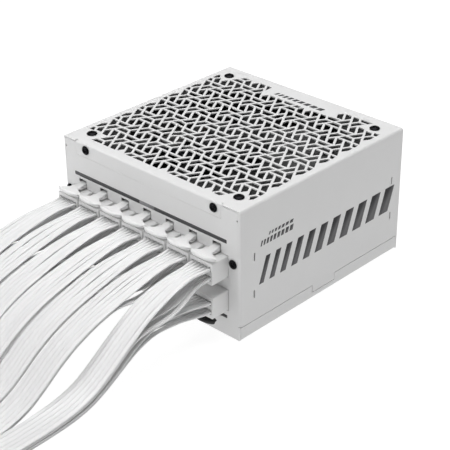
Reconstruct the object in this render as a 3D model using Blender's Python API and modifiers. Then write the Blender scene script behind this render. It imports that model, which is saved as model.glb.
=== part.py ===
"""Modular desktop power supply unit, as separate sub-parts.

Metres, +Z up through the fan guard, -Y out of the socket panel, +X to the right when facing it.
The origin is under the middle of the box, on the surface that it stands on.
"""

import math

import bmesh
import bpy
from mathutils import Matrix, Vector

# The box
WIDTH = 0.150
DEPTH = 0.150
HEIGHT = 0.086
HALF_WIDTH = WIDTH / 2
FRONT_Y = -0.076
REAR_Y = FRONT_Y + DEPTH
MIDDLE_Y = FRONT_Y + DEPTH / 2
SHEET = 0.0008
GAP = 0.0003
STEP_IN = 0.00005  # keeps sheets that are joined off each other's planes
BEND = 0.0030
SEAM_Z = 0.0095
TAB_LOW_Z = 0.0045
TAB_Y = (-0.011, 0.010)
WALL_TOP_Z = HEIGHT - SHEET - GAP
FLANGE_X = (-0.063, 0.060)
FLANGE_Z = 0.0768
LIP = 0.0019
LIP_TOP_Z = 0.0825
EAR_Z = (0.0445, 0.0565)
STANDOFF_X = 0.066
STANDOFF_Y = (-0.058, 0.056)

# The fan guard: a triangular grid of bars, three grid triangles to a side of each large opening
GRID_PITCH = 0.0053125
BAR = 0.0015
GUARD_HALF_X = 0.06975
GUARD_HALF_Y = 0.06775
GUARD_NOTCH_X = (-0.028, 0.030)
GUARD_NOTCH_Y = 0.057
SCREW_PAD_RADIUS = 0.0062

# Fasteners
FAN_SCREW_OFFSET = 0.06225
FAN_SCREW_HOLE = 0.0021
PANEL_SCREW_HOLE = 0.0017
PANEL_SCREWS = ((-0.054, 0.082), (0.0545, 0.082), (-0.0708, 0.0505), (0.0695, 0.0505))
SIDE_EARS = (-0.0690, 0.0670)

# Sockets and plugs
SOCKET_PITCH = 0.0192
SOCKET_MIDDLE_X = -0.001
SOCKETS = 7
LOWER_PLACES = (1, 3, 6)
PLUG_WIDTH = 0.0175
PLUG_HEIGHT = 0.0142
PLUG_OUT = 0.013
PLUG_IN = 0.0078
UPPER_Z = 0.0472
LOWER_Z = 0.0245
SOCKET_DEPTH = 0.0095
LATCH_SLOT = (0.0066, 0.0057)
LATCH_STEM = 0.0028
LATCH_LIP = 0.0090
LATCH_TIP = -0.0100
LATCH_SHEET = 0.0012
LEVER_RISE = 0.0016

# Fan
FAN_SIZE = 0.140
FAN_DEPTH = 0.025
FAN_TOP_Z = WALL_TOP_Z
FAN_BORE = 0.067
HUB_RADIUS = 0.021
BLADES = 7

# Flat cables: width, thickness, and the hand-chosen points (y, z) that they follow. The upper
# cable next to the right side falls sooner than the rest, on to the lower cable under it.
CABLE_WIDTH = 0.018
CABLE_THICKNESS = 0.0022
UPPER_ROUTE = (
    (-0.0893, 0.0472), (-0.1060, 0.0471), (-0.1240, 0.0460), (-0.1420, 0.0436), (-0.1590, 0.0394),
    (-0.1740, 0.0336), (-0.1870, 0.0264), (-0.1980, 0.0188), (-0.2090, 0.0122), (-0.2220, 0.0078),
    (-0.2390, 0.0057), (-0.2600, 0.0052), (-0.2850, 0.0052),
)
RIGHT_ROUTE = (
    (-0.0893, 0.0472), (-0.1050, 0.0466), (-0.1220, 0.0438), (-0.1370, 0.0390), (-0.1500, 0.0318),
    (-0.1620, 0.0235), (-0.1730, 0.0160), (-0.1840, 0.0106), (-0.1980, 0.0073), (-0.2160, 0.0057),
    (-0.2400, 0.0052), (-0.2640, 0.0052), (-0.2850, 0.0052),
)
LOWER_ROUTE = (
    (-0.0893, 0.0245), (-0.1000, 0.0258), (-0.1120, 0.0282), (-0.1250, 0.0297), (-0.1370, 0.0290),
    (-0.1490, 0.0250), (-0.1600, 0.0188), (-0.1710, 0.0124), (-0.1820, 0.0074), (-0.1950, 0.0043),
    (-0.2120, 0.0030), (-0.2350, 0.0026), (-0.2600, 0.0026), (-0.2850, 0.0026),
)
FLOOR_RUN_Z = 0.0026
ROUTE_STEPS = 2

# The folded rest of the cables, the tie round it and the connectors on its end
HANK_Y = (-0.4285, -0.2853)
HANK_Z = (0.0015, 0.0243)
HANK_STEP_Y = -0.4027
HANK_STEP_Z = 0.0148
TIE_Y = (-0.362, -0.342)
TIE_SHEET = 0.0010
CONNECTOR_Z = (0.0154, 0.0250)
CONNECTOR_TOP_Z = 0.0342

# Rear panel
INLET_X = -0.050
INLET_Z = 0.044
INLET_HALF = (0.0135, 0.0100)
INLET_FLANGE_HALF = (0.0160, 0.0122)
INLET_BACK_Y = 0.0560
SWITCH_Z = 0.0205
SWITCH_HALF = (0.0095, 0.0065)
SWITCH_BACK_Y = 0.0600
BEZEL_SHEET = 0.0015
ROCKER_TILT = math.radians(11)
ROCKER_PIVOT_Y = 0.0735
MOUNT_HOLES = ((-0.069, 0.006), (0.069, 0.006), (-0.069, 0.070), (0.045, 0.080))
VENT_PITCH = 0.0125
VENT_RADIUS = 0.0060


def clear_scene():
    """Empties the file it runs in."""
    for item in list(bpy.data.objects):
        bpy.data.objects.remove(item)


def new_collection(name):
    group = bpy.data.collections.new(name)
    bpy.context.scene.collection.children.link(group)
    return group


def finish(name, colour, roughness, metallic=0.0):
    """A Principled material of one linear colour."""
    material = bpy.data.materials.new(name)
    material.use_nodes = True
    shader = material.node_tree.nodes["Principled BSDF"]
    shader.inputs["Base Color"].default_value = (*colour, 1.0)
    shader.inputs["Roughness"].default_value = roughness
    shader.inputs["Metallic"].default_value = metallic
    material.diffuse_color = (*colour, 1.0)
    return material


# Modelling helpers. An object made without a material is a tool: it cuts or joins another.


def place(name, mesh, material=None):
    item = bpy.data.objects.new(name, mesh)
    if material is None:
        TOOLS.objects.link(item)
        item.hide_render = True
        item.display_type = "WIRE"
    else:
        PARTS.objects.link(item)
        mesh.materials.append(material)
    return item


def to_mesh(name, bm):
    mesh = bpy.data.meshes.new(name)
    bm.to_mesh(mesh)
    bm.free()
    return mesh


def box(name, low, high, material=None):
    """A box between two corners."""
    low, high = Vector(low), Vector(high)
    bm = bmesh.new()
    bmesh.ops.create_cube(bm, size=1.0)
    bmesh.ops.scale(bm, vec=high - low, verts=bm.verts)
    bmesh.ops.translate(bm, vec=(low + high) / 2, verts=bm.verts)
    return place(name, to_mesh(name, bm), material)


def cylinder(name, centre, radius, depth, axis="Z", segments=24, material=None):
    """A cylinder along a world axis, its origin at its centre."""
    bm = bmesh.new()
    bmesh.ops.create_cone(
        bm, cap_ends=True, segments=segments, radius1=radius, radius2=radius, depth=depth
    )
    item = place(name, to_mesh(name, bm), material)
    turns = {"X": (0, math.pi / 2, 0), "Y": (math.pi / 2, 0, 0), "Z": (0, 0, 0)}
    item.rotation_euler = turns[axis]
    item.location = centre
    return item


def turned(name, profile, segments, matrix, material=None):
    """A round solid: a profile of (radius, height) points from its top to its foot, spun about Z."""
    mesh = bpy.data.meshes.new(name)
    points = [(radius, 0, height) for radius, height in profile]
    mesh.from_pydata(points, [(i, i + 1) for i in range(len(points) - 1)], [])
    item = place(name, mesh, material)
    item.matrix_world = matrix
    spin = item.modifiers.new("Spin", "SCREW")
    spin.steps = spin.render_steps = segments
    spin.use_merge_vertices = True
    spin.merge_threshold = 0.00001
    return item


def plate(name, outline, holes, thickness, matrix, material=None):
    """A flat outline with holes, given thickness both ways from its own plane."""
    curve = bpy.data.curves.new(name, "CURVE")
    curve.dimensions = "2D"
    curve.fill_mode = "BOTH"
    curve.extrude = thickness / 2
    for points in ([outline] if outline else []) + list(holes):
        spline = curve.splines.new("POLY")
        spline.points.add(len(points) - 1)
        spline.use_cyclic_u = True
        for point, (across, up) in zip(spline.points, points):
            point.co = (across, up, 0, 1)
    drawing = bpy.data.objects.new(name + "_outline", curve)
    TOOLS.objects.link(drawing)
    bpy.context.view_layer.update()
    mesh = bpy.data.meshes.new_from_object(
        drawing.evaluated_get(bpy.context.evaluated_depsgraph_get())
    )
    bpy.data.objects.remove(drawing)
    bm = bmesh.new()
    bm.from_mesh(mesh)
    bmesh.ops.remove_doubles(bm, verts=bm.verts, dist=0.000001)
    bmesh.ops.recalc_face_normals(bm, faces=bm.faces)
    bm.to_mesh(mesh)
    bm.free()
    mesh.materials.clear()
    item = place(name, mesh, material)
    item.matrix_world = matrix
    return item


def combine(target, tool, operation):
    """Joins a tool to the target, or takes it away."""
    change = target.modifiers.new(tool.name, "BOOLEAN")
    change.operation = operation
    change.object = tool
    change.solver = "EXACT"


def join(target, *tools):
    for tool in tools:
        combine(target, tool, "UNION")


def cut(target, *tools):
    for tool in tools:
        combine(target, tool, "DIFFERENCE")


def round_edges(item, width, segments=2):
    edges = item.modifiers.new("Edges", "BEVEL")
    edges.width = width
    edges.segments = segments
    edges.limit_method = "ANGLE"


def upright(y):
    """Turns a drawing's across and up into X and Z, in the plane at this y."""
    return Matrix.Translation((0, y, 0)) @ Matrix.Rotation(math.pi / 2, 4, "X")


def sideways(x):
    """Turns a drawing's across and up into Y and Z, in the plane at this x."""
    return (
        Matrix.Translation((x, 0, 0))
        @ Matrix.Rotation(math.pi / 2, 4, "Z")
        @ Matrix.Rotation(math.pi / 2, 4, "X")
    )


def rectangle(low_x, high_x, low_y, high_y):
    return [(low_x, low_y), (high_x, low_y), (high_x, high_y), (low_x, high_y)]


def window_round(x, y, half, extra=0.0):
    """A rectangle round a middle, from its half width and half height."""
    half_x, half_y = half[0] + extra, half[1] + extra
    return rectangle(x - half_x, x + half_x, y - half_y, y + half_y)


def polygon(x, y, radius, sides, turn=0.0):
    step = 2 * math.pi / sides
    angles = [turn + step * i for i in range(sides)]
    return [(x + radius * math.cos(a), y + radius * math.sin(a)) for a in angles]


def arc(x, y, radius, start, end, steps):
    """Points along a circle, with its angles in degrees."""
    angles = [math.radians(start + (end - start) * i / steps) for i in range(steps + 1)]
    return [(x + radius * math.cos(a), y + radius * math.sin(a)) for a in angles]


# The fan guard's openings


def grid_point(q, r):
    """A crossing of the triangular grid of bars, from its distances to two of the bar families."""
    return Vector(((q - r) * GRID_PITCH / math.sqrt(3), (q + r) * GRID_PITCH))


def inset(points, distance):
    """A convex outline, anticlockwise, moved inwards."""
    moved = []
    for i, corner in enumerate(points):
        before = (corner - points[i - 1]).normalized()
        after = (points[(i + 1) % len(points)] - corner).normalized()
        inward = Vector((-before.y, before.x)) + Vector((-after.y, after.x))
        moved.append(corner + inward * distance / (1 + before.dot(after)))
    return moved


def clip(points, normal, limit):
    """Keeps what lies on the far side of a line, at this distance from the middle along normal."""
    kept = []
    for i, here in enumerate(points):
        there = points[(i + 1) % len(points)]
        a, b = here.dot(normal) - limit, there.dot(normal) - limit
        if a > 0:
            kept.append(here)
        if a * b < 0:
            kept.append(here.lerp(there, a / (a - b)))
    return kept


def area(points):
    return sum(p.cross(q) for p, q in zip(points, points[1:] + points[:1])) / 2


def guard_cells():
    """The two large triangles and the hexagon of every cell of the pattern."""
    up = [(0, 1), (3, -2), (3, 1)]
    down = [(0, -1), (-3, 2), (-3, -1)]
    hexagon = [(1, 0), (0, 1), (-1, 1), (-1, 0), (0, -1), (1, -1)]
    for i in range(-8, 9):
        for j in range(-5, 6):
            for shape in (up, down, hexagon):
                corners = [grid_point(q + 2 * i + 4 * j, r + 2 * i - 2 * j) for q, r in shape]
                yield corners if area(corners) > 0 else corners[::-1]


def trim_to_guard(points):
    """Cuts an opening back to the guard's edges, its plain patch and the pads round its screws."""
    for normal, limit in (((1, 0), GUARD_HALF_X), ((0, 1), GUARD_HALF_Y)):
        for side in (1, -1):
            points = clip(points, Vector(normal) * side, -limit) if points else points
    if not points:
        return points
    middle = sum(points, Vector((0, 0))) / len(points)
    if max(p.y for p in points) > GUARD_NOTCH_Y:
        if GUARD_NOTCH_X[0] < middle.x < GUARD_NOTCH_X[1]:
            points = clip(points, Vector((0, -1)), -GUARD_NOTCH_Y)
        elif middle.x > 0:
            points = clip(points, Vector((1, 0)), GUARD_NOTCH_X[1])
        else:
            points = clip(points, Vector((-1, 0)), -GUARD_NOTCH_X[0])
    for x in (-FAN_SCREW_OFFSET, FAN_SCREW_OFFSET):
        for y in (-FAN_SCREW_OFFSET, FAN_SCREW_OFFSET):
            away = middle - Vector((x, y))
            if points and away.length < 3 * SCREW_PAD_RADIUS:
                away.normalize()
                points = clip(points, away, Vector((x, y)).dot(away) + SCREW_PAD_RADIUS)
    return points


def guard_openings():
    smallest = BAR * BAR * 2
    trimmed = (trim_to_guard(inset(corners, BAR / 2)) for corners in guard_cells())
    return [points for points in trimmed if len(points) > 2 and area(points) > smallest]


# Housing


def socket_x(place_number):
    return SOCKET_MIDDLE_X + SOCKET_PITCH * (place_number - SOCKETS // 2)


def socket_window(x, z, up):
    """A plug's window, with the slot for its latch above it (up = 1) or below it (up = -1)."""
    half_width = PLUG_WIDTH / 2 + GAP
    half_height = PLUG_HEIGHT / 2 + GAP
    half_slot = LATCH_SLOT[0] / 2
    reach = half_height + LATCH_SLOT[1]
    return [
        (x - half_width, z - up * half_height), (x + half_width, z - up * half_height),
        (x + half_width, z + up * half_height), (x + half_slot, z + up * half_height),
        (x + half_slot, z + up * reach), (x - half_slot, z + up * reach),
        (x - half_slot, z + up * half_height), (x - half_width, z + up * half_height),
    ]


def front_wall():
    """The socket panel: windows for the plugs, and a cut-out where the cover's flange lies flush."""
    low, high = FLANGE_X[0] - GAP, FLANGE_X[1] + GAP
    inner = HALF_WIDTH - LIP - GAP
    step = SEAM_Z - GAP - STEP_IN
    foot, end = STEP_IN, HALF_WIDTH - STEP_IN
    outline = [
        (-end, foot), (end, foot), (end, step), (inner, step), (inner, WALL_TOP_Z),
        (high, WALL_TOP_Z), (high, FLANGE_Z - GAP), (low, FLANGE_Z - GAP), (low, WALL_TOP_Z),
        (-inner, WALL_TOP_Z), (-inner, step), (-end, step),
    ]
    holes = [socket_window(socket_x(i), UPPER_Z, 1) for i in range(SOCKETS)]
    holes += [socket_window(socket_x(i), LOWER_Z, -1) for i in LOWER_PLACES]
    holes += [polygon(x, z, PANEL_SCREW_HOLE, 12) for x, z in PANEL_SCREWS[2:]]
    wall = plate("base_tray", outline, [], SHEET, upright(FRONT_Y + SHEET / 2), WHITE_STEEL)
    cut(wall, plate("windows", [], holes, 3 * SHEET, upright(FRONT_Y)))
    return wall


def rear_wall():
    """The panel that screws to a case: its holes, its vents, and windows for inlet and switch."""
    inner = HALF_WIDTH - SHEET - GAP
    step = SEAM_Z - GAP - STEP_IN
    foot, end = STEP_IN, HALF_WIDTH - STEP_IN
    outline = [
        (-end, foot), (end, foot), (end, step), (inner, step), (inner, WALL_TOP_Z - BEND),
        (inner - BEND, WALL_TOP_Z), (BEND - inner, WALL_TOP_Z), (-inner, WALL_TOP_Z - BEND),
        (-inner, step), (-end, step),
    ]
    holes = [polygon(x, z, 0.0018, 12) for x, z in MOUNT_HOLES]
    holes.append(window_round(INLET_X, INLET_Z, INLET_HALF, GAP))
    holes.append(window_round(INLET_X, SWITCH_Z, SWITCH_HALF, GAP))
    for row in range(6):
        for column in range(7):
            x = -0.0215 + VENT_PITCH * (column + 0.5 * (row % 2))
            z = 0.0165 + VENT_PITCH * math.sqrt(3) / 2 * row
            holes.append(polygon(x, z, VENT_RADIUS, 6, math.pi / 6))
    wall = plate("rear_wall", outline, [], SHEET, upright(REAR_Y - SHEET / 2))
    cut(wall, plate("vents", [], holes, 3 * SHEET, upright(REAR_Y)))
    return wall


def base_tray():
    """Base, socket panel and rear panel in one, with low side flanges that lap behind the cover."""
    tray = front_wall()
    join(tray, rear_wall())
    ends = (FRONT_Y + STEP_IN, REAR_Y - STEP_IN)
    half = HALF_WIDTH - 2 * STEP_IN
    join(tray, box("tray_base", (-half, ends[0], 0), (half, ends[1], SHEET)))
    for side in (-1, 1):
        join_side_flange(tray, side)
        outside, inside = side * (HALF_WIDTH + SHEET), side * (HALF_WIDTH - SHEET - GAP)
        notch_low, notch_high = sorted((outside, inside))
        low = (notch_low, TAB_Y[0] - GAP, TAB_LOW_Z - GAP)
        cut(tray, box("tab_notch", low, (notch_high, TAB_Y[1] + GAP, SEAM_Z)))
        for y in STANDOFF_Y:
            foot = (side * STANDOFF_X, y, 0.00325)
            join(tray, cylinder("standoff", foot, 0.003, 0.0053, segments=12))
    for x, z in PANEL_SCREWS[:2]:
        join(tray, *flange_tab(x, z))
        cut(tray, cylinder("tab_hole", (x, FRONT_Y, z), PANEL_SCREW_HOLE, 0.01, "Y", 12))
    return tray


def join_side_flange(tray, side):
    """The low flange on one side, with the lap that its top jogs into, behind the cover."""
    top = SEAM_Z - GAP
    skin = HALF_WIDTH - SHEET
    lap_outer, lap_inner = skin - GAP, skin - GAP - SHEET
    sheets = (
        ("flange", skin, HALF_WIDTH, 2 * STEP_IN, STEP_IN, top),
        ("jog", lap_inner + STEP_IN, HALF_WIDTH - STEP_IN, 0.004, top - 0.0012, top - STEP_IN),
        ("lap", lap_inner, lap_outer, 0.004 + STEP_IN, top - 0.0011, 0.018),
    )
    for name, near, far, shorter, low_z, high_z in sheets:
        x_low, x_high = sorted((side * near, side * far))
        low = (x_low, FRONT_Y + shorter, low_z)
        join(tray, box(name, low, (x_high, REAR_Y - shorter, high_z)))


def flange_tab(x, z):
    """The ear behind the cover's flange that its screw goes into."""
    back = FRONT_Y + SHEET + GAP
    return (
        box("ear_foot", (x - 0.0049, FRONT_Y + SHEET / 2, 0.070), (x + 0.0049, back + SHEET / 2, 0.0755)),
        box("ear", (x - 0.005, back, 0.0705), (x + 0.005, back + SHEET, z + 0.002)),
    )


def cover_profile():
    """The cover seen from the front: two sides and the top, rounded where the sheet is bent."""
    x, r = HALF_WIDTH - BEND, BEND
    outside = arc(x, HEIGHT - r, r, 0, 90, 4) + arc(-x, HEIGHT - r, r, 90, 180, 4)
    inside = arc(-x, HEIGHT - r, r - SHEET, 180, 90, 4) + arc(x, HEIGHT - r, r - SHEET, 90, 0, 4)
    edge = HALF_WIDTH - SHEET
    left_foot = [(-HALF_WIDTH, SEAM_Z), (-edge, SEAM_Z)]
    right_foot = [(edge, SEAM_Z), (HALF_WIDTH, SEAM_Z)]
    return outside + left_foot + inside + right_foot


def top_cover():
    """Fan guard and sides in one bent sheet, with a flange and lips round the socket panel."""
    middle = upright(MIDDLE_Y)
    cover = plate("top_cover", cover_profile(), [], DEPTH, middle, WHITE_STEEL)
    front, back = FRONT_Y, FRONT_Y + SHEET
    flange_top = HEIGHT - SHEET / 2
    low, high = FLANGE_X
    join(cover, box("front_flange", (low, front, FLANGE_Z), (high, back, flange_top)))
    for side, ear_end in zip((-1, 1), SIDE_EARS):
        x_low, x_high = sorted((side * HALF_WIDTH, side * (HALF_WIDTH - LIP)))
        join(cover, box("front_lip", (x_low, front, SEAM_Z), (x_high, back, LIP_TOP_Z)))
        x_low, x_high = sorted((side * HALF_WIDTH, side * (HALF_WIDTH - SHEET)))
        join(cover, box("tab", (x_low, TAB_Y[0], TAB_LOW_Z), (x_high, TAB_Y[1], 0.012)))
        x_low, x_high = sorted((side * (HALF_WIDTH - SHEET / 2), ear_end))
        ear = back + GAP
        join(cover, box("side_ear", (x_low, ear, EAR_Z[0]), (x_high, ear + SHEET, EAR_Z[1])))
    for x, z in PANEL_SCREWS:
        cut(cover, cylinder("panel_hole", (x, FRONT_Y, z), PANEL_SCREW_HOLE, 0.01, "Y", 12))
    openings = guard_openings()
    openings += [polygon(x, y, FAN_SCREW_HOLE, 12) for x, y in fan_screw_places(0)]
    above = Matrix.Translation((0, MIDDLE_Y, HEIGHT))
    cut(cover, plate("guard_openings", [], openings, 0.004, above))
    return cover


# Fasteners


def fan_screw_places(middle_y):
    offset = FAN_SCREW_OFFSET
    return [(x, middle_y + y) for x in (-offset, offset) for y in (-offset, offset)]


def screw(name, head_radius, head_height, shank_radius, length, matrix):
    """A pan-head screw whose head rests on the plane z = 0 of its own frame."""
    profile = [
        (0, head_height), (head_radius * 0.65, head_height), (head_radius, head_height * 0.45),
        (head_radius, 0), (shank_radius, 0), (shank_radius, -length), (0, -length),
    ]
    return turned(name, profile, 12, matrix, BLACK_STEEL)


def screws():
    for number, (x, y) in enumerate(fan_screw_places(MIDDLE_Y), 1):
        seat = Matrix.Translation((x, y, HEIGHT + GAP))
        screw(f"fan_screw_{number}", 0.0033, 0.0012, 0.0017, 0.012, seat)
    outward = Matrix.Rotation(math.pi / 2, 4, "X")
    for number, (x, z) in enumerate(PANEL_SCREWS, 1):
        seat = Matrix.Translation((x, FRONT_Y - GAP, z)) @ outward
        screw(f"cover_screw_{number}", 0.0029, 0.0012, 0.0014, 0.005, seat)


# Fan


def fan_frame():
    """A square frame with a round duct, its motor plate carried by four arms on the inner side."""
    low_z, half = FAN_TOP_Z - FAN_DEPTH, FAN_SIZE / 2
    corner = 0.006
    outline = []
    for x, y, start in ((1, 1, 0), (-1, 1, 90), (-1, -1, 180), (1, -1, 270)):
        outline += arc(x * (half - corner), y * (half - corner), corner, start, start + 90, 2)
    holes = [polygon(0, 0, FAN_BORE, 48)]
    holes += [polygon(x, y, FAN_SCREW_HOLE, 12) for x, y in fan_screw_places(0)]
    middle = Matrix.Translation((0, MIDDLE_Y, low_z + FAN_DEPTH / 2))
    frame = plate("fan_frame", outline, holes, FAN_DEPTH, middle, BLACK_PLASTIC)
    hub = (0, MIDDLE_Y, low_z + 0.0011)
    join(frame, cylinder("motor_plate", hub, 0.020, 0.0022, segments=32))
    for turn in range(4):
        arm = box("arm", (0.017, -0.0022, 0), (FAN_BORE + 0.002, 0.0022, 0.0018))
        spin = Matrix.Rotation(math.radians(20 + 90 * turn), 4, "Z")
        arm.matrix_world = Matrix.Translation((0, MIDDLE_Y, low_z)) @ spin
        join(frame, arm)
    return frame


def blade(name, turn):
    """A swept, twisted sheet: radius runs outwards, and the chord rises as it turns round the hub."""
    inner, outer = HUB_RADIUS - 0.001, FAN_BORE - 0.0022
    bm = bmesh.new()
    bmesh.ops.create_grid(bm, x_segments=3, y_segments=3, size=0.5)
    for vert in bm.verts:
        out, chord = vert.co.x + 0.5, vert.co.y
        radius = inner + (outer - inner) * out
        span = math.radians(38 - 6 * out)
        angle = turn + math.radians(12) * out * out + span * chord
        height = (0.0135 - 0.0025 * out) * chord
        vert.co = (radius * math.cos(angle), radius * math.sin(angle), height)
    sheet = place(name, to_mesh(name, bm))
    wall = sheet.modifiers.new("Wall", "SOLIDIFY")
    wall.thickness = 0.0014
    wall.offset = 0
    return sheet


def fan_rotor():
    """A hub cup, open below, with its blades; its origin is on the axle."""
    rise = 0.008
    profile = [
        (0, rise + 0.001), (HUB_RADIUS - 0.002, rise + 0.001), (HUB_RADIUS, rise - 0.001),
        (HUB_RADIUS, -0.0095), (HUB_RADIUS - 0.002, -0.0095), (HUB_RADIUS - 0.002, rise - 0.0015),
        (0, rise - 0.0015),
    ]
    axle = Matrix.Translation((0, MIDDLE_Y, FAN_TOP_Z - FAN_DEPTH / 2 + 0.001))
    rotor = turned("fan_rotor", profile, 36, axle, BLACK_PLASTIC)
    for number in range(BLADES):
        vane = blade("blade", 2 * math.pi * number / BLADES)
        vane.matrix_world = axle
        join(rotor, vane)
    return rotor


def fan_motor():
    """Bearing tube and windings on the motor plate, inside the hub cup."""
    foot = FAN_TOP_Z - FAN_DEPTH + 0.0025
    profile = [
        (0, 0.0175), (0.004, 0.0175), (0.004, 0.015), (0.0165, 0.0145), (0.0165, 0.0045),
        (0.012, 0.004), (0.012, 0), (0, 0),
    ]
    return turned("fan_motor", profile, 24, Matrix.Translation((0, MIDDLE_Y, foot)), COPPER)


# Boards and what stands on them


def boards():
    box("main_board", (-0.070, -0.0615, 0.0062), (0.070, 0.058, 0.0078), GREEN_BOARD)
    box("socket_board", (-0.069, -0.0637, 0.0120), (0.0675, -0.0621, 0.0570), GREEN_BOARD)
    box("insulation_sheet", (-0.0620, -0.0610, 0.0020), (0.0620, 0.0570, 0.0024), CLEAR_FILM)


def heatsink(name, x, y, length):
    """A finned extrusion that stands on the board, its fins pointing to -Y."""
    fins, height, fin_depth = 6, 0.040, 0.010
    points = [(0, 0), (0.002, 0)]
    for i in range(fins):
        low = height * (i + 0.25) / fins
        points += [(0.002, low), (fin_depth, low), (fin_depth, low + 0.0016), (0.002, low + 0.0016)]
    points += [(0.002, height), (0, height)]
    outline = [(y - across, 0.0081 + up) for across, up in points]
    return plate(name, outline, [], length, sideways(x), ALUMINIUM)


def transformer():
    core = box("transformer", (-0.004, -0.024, 0.0150), (0.034, -0.006, 0.0450), FERRITE)
    join(core, cylinder("winding", (0.015, -0.015, 0.0300), 0.0165, 0.024, segments=20))
    join(core, box("bobbin", (-0.002, -0.030, 0.0081), (0.032, 0.000, 0.0160)))
    return core


def bulk_capacitor():
    can = cylinder("bulk_capacitor", (-0.040, -0.012, 0.0331), 0.0175, 0.050, material=BLACK_PLASTIC)
    round_edges(can, 0.0012, 1)
    return can


def filter_choke():
    """A wound ring that stands on its edge."""
    profile = polygon(0.0125, 0, 0.0062, 10)
    ring = Matrix.Translation((-0.030, 0.034, 0.0272)) @ Matrix.Rotation(math.pi / 2, 4, "X")
    loop = [profile[i % 10] for i in range(10, -1, -1)]
    return turned("filter_choke", loop, 20, ring, COPPER)


# Sockets, plugs and latches


def socket_row(name, places, z, up):
    """A row of sockets behind the panel, with a catch for each plug's latch."""
    front = FRONT_Y + SHEET + GAP
    half_height = PLUG_HEIGHT / 2 + GAP
    half_width = PLUG_WIDTH / 2 + GAP
    low_x, high_x = socket_x(places[0]) - half_width - 0.001, socket_x(places[-1]) + half_width + 0.001
    outline = rectangle(low_x, high_x, z - half_height - 0.001, z + half_height + 0.001)
    holes = [
        rectangle(socket_x(i) - half_width, socket_x(i) + half_width, z - half_height, z + half_height)
        for i in places
    ]
    middle = front + SOCKET_DEPTH / 2
    row = plate(name, outline, holes, SOCKET_DEPTH, upright(middle), WHITE_PLASTIC)
    back = front + SOCKET_DEPTH
    low = (low_x, back - 0.0012, z - half_height - 0.001)
    join(row, box("socket_back", low, (high_x, back + 0.0002, z + half_height + 0.001)))
    for i in places:
        top = z + up * (half_height + 0.001)
        z_low, z_high = sorted((top - up * 0.0005, top + up * 0.0009))
        x = socket_x(i)
        join(row, box("catch", (x - 0.0022, front + 0.0003, z_low), (x + 0.0022, front + 0.0012, z_high)))
    return row


def plug(name, x, z, up):
    """A plug pushed home in its socket, with the web that its latch rocks on."""
    half_width, half_height = PLUG_WIDTH / 2, PLUG_HEIGHT / 2
    back = FRONT_Y - PLUG_OUT
    low = (x - half_width, back, z - half_height)
    body = box(name, low, (x + half_width, FRONT_Y + PLUG_IN, z + half_height), WHITE_PLASTIC)
    round_edges(body, 0.0006, 1)
    z_low, z_high = sorted((z + up * (half_height - 0.0005), z + up * (half_height + 0.0022)))
    join(body, box("web", (x - 0.002, FRONT_Y - 0.0052, z_low), (x + 0.002, FRONT_Y - 0.0036, z_high)))
    return body


def latch(name, x, z, up):
    """A sprung lever: a hook in the slot, a stem, and a wide lip at its outer end.

    Those of the lower row, which are under their plugs, are black.

    Its outline is drawn round the line that it rocks about, which lies a little under its stem.
    """
    pivot_y = FRONT_Y - 0.0044
    pivot_z = z + up * (PLUG_HEIGHT / 2 + 0.0015)
    stem, lip, crest = LATCH_STEM, LATCH_LIP, LATCH_LIP * 0.6
    hook_y, neck_y, lip_y, end_y, tip_y = 0.0092, -0.0030, -0.0052, -0.0078, LATCH_TIP
    outline = [
        (-stem, hook_y), (-stem, neck_y), (-lip, lip_y), (-lip, end_y), (-crest, tip_y),
        (crest, tip_y), (lip, end_y), (lip, lip_y), (stem, neck_y), (stem, hook_y),
    ]
    plastic = WHITE_PLASTIC if up > 0 else BLACK_PLASTIC
    lever = plate(name, outline, [], LATCH_SHEET, Matrix.Identity(4), plastic)
    lever.matrix_world = Matrix.Translation((x, pivot_y, pivot_z + up * LEVER_RISE))
    thumb_low, thumb_high = sorted((0, up * 0.0018))
    thumb = box("thumb_lip", (-lip + 0.001, end_y, thumb_low), (lip - 0.001, lip_y - 0.0006, thumb_high))
    hook_low, hook_high = sorted((0, -up * 0.0015))
    hook = box("hook", (-stem + 0.0002, 0.0072, hook_low), (stem - 0.0002, 0.0090, hook_high))
    for tool in (thumb, hook):
        tool.matrix_world = lever.matrix_world
        join(lever, tool)
    return lever


# Flat cables


def smooth(points, steps):
    """A Catmull-Rom curve through the points, with this many steps between each two."""
    ends = [points[0] * 2 - points[1], *points, points[-1] * 2 - points[-2]]
    line = [points[0]]
    for a, b, c, d in zip(ends, ends[1:], ends[2:], ends[3:]):
        for step in range(1, steps + 1):
            t = step / steps
            line.append(
                (b * 2 + (c - a) * t + (a * 2 - b * 5 + c * 4 - d) * t**2
                 + (b * 3 - a - c * 3 + d) * t**3) / 2
            )
    return line


def upper_route(place_number):
    """An upper cable's points; where no lower cable lies under it, its fall ends on the floor."""
    route = RIGHT_ROUTE if place_number == SOCKETS - 1 else UPPER_ROUTE
    if place_number in LOWER_PLACES:
        return route
    top, last = route[0][1], route[-1][1]
    stretch = (top - FLOOR_RUN_Z) / (top - last)
    return [(y, top - (top - z) * stretch) for y, z in route]


def flat_cable(name, x, route):
    """A ribbon of wires: a strip along its route, with a wall of its thickness."""
    line = smooth([Vector((x, y, z)) for y, z in route], ROUTE_STEPS)
    bm = bmesh.new()
    bmesh.ops.create_grid(bm, x_segments=1, y_segments=len(line) - 1, size=0.5)
    for vert in bm.verts:
        point = line[round((vert.co.y + 0.5) * (len(line) - 1))]
        vert.co = point + Vector((CABLE_WIDTH * vert.co.x, 0, 0))
    strip = place(name, to_mesh(name, bm), WHITE_CABLE)
    wall = strip.modifiers.new("Wall", "SOLIDIFY")
    wall.thickness = CABLE_THICKNESS
    wall.offset = 0
    wall.use_even_offset = True
    return strip


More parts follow.
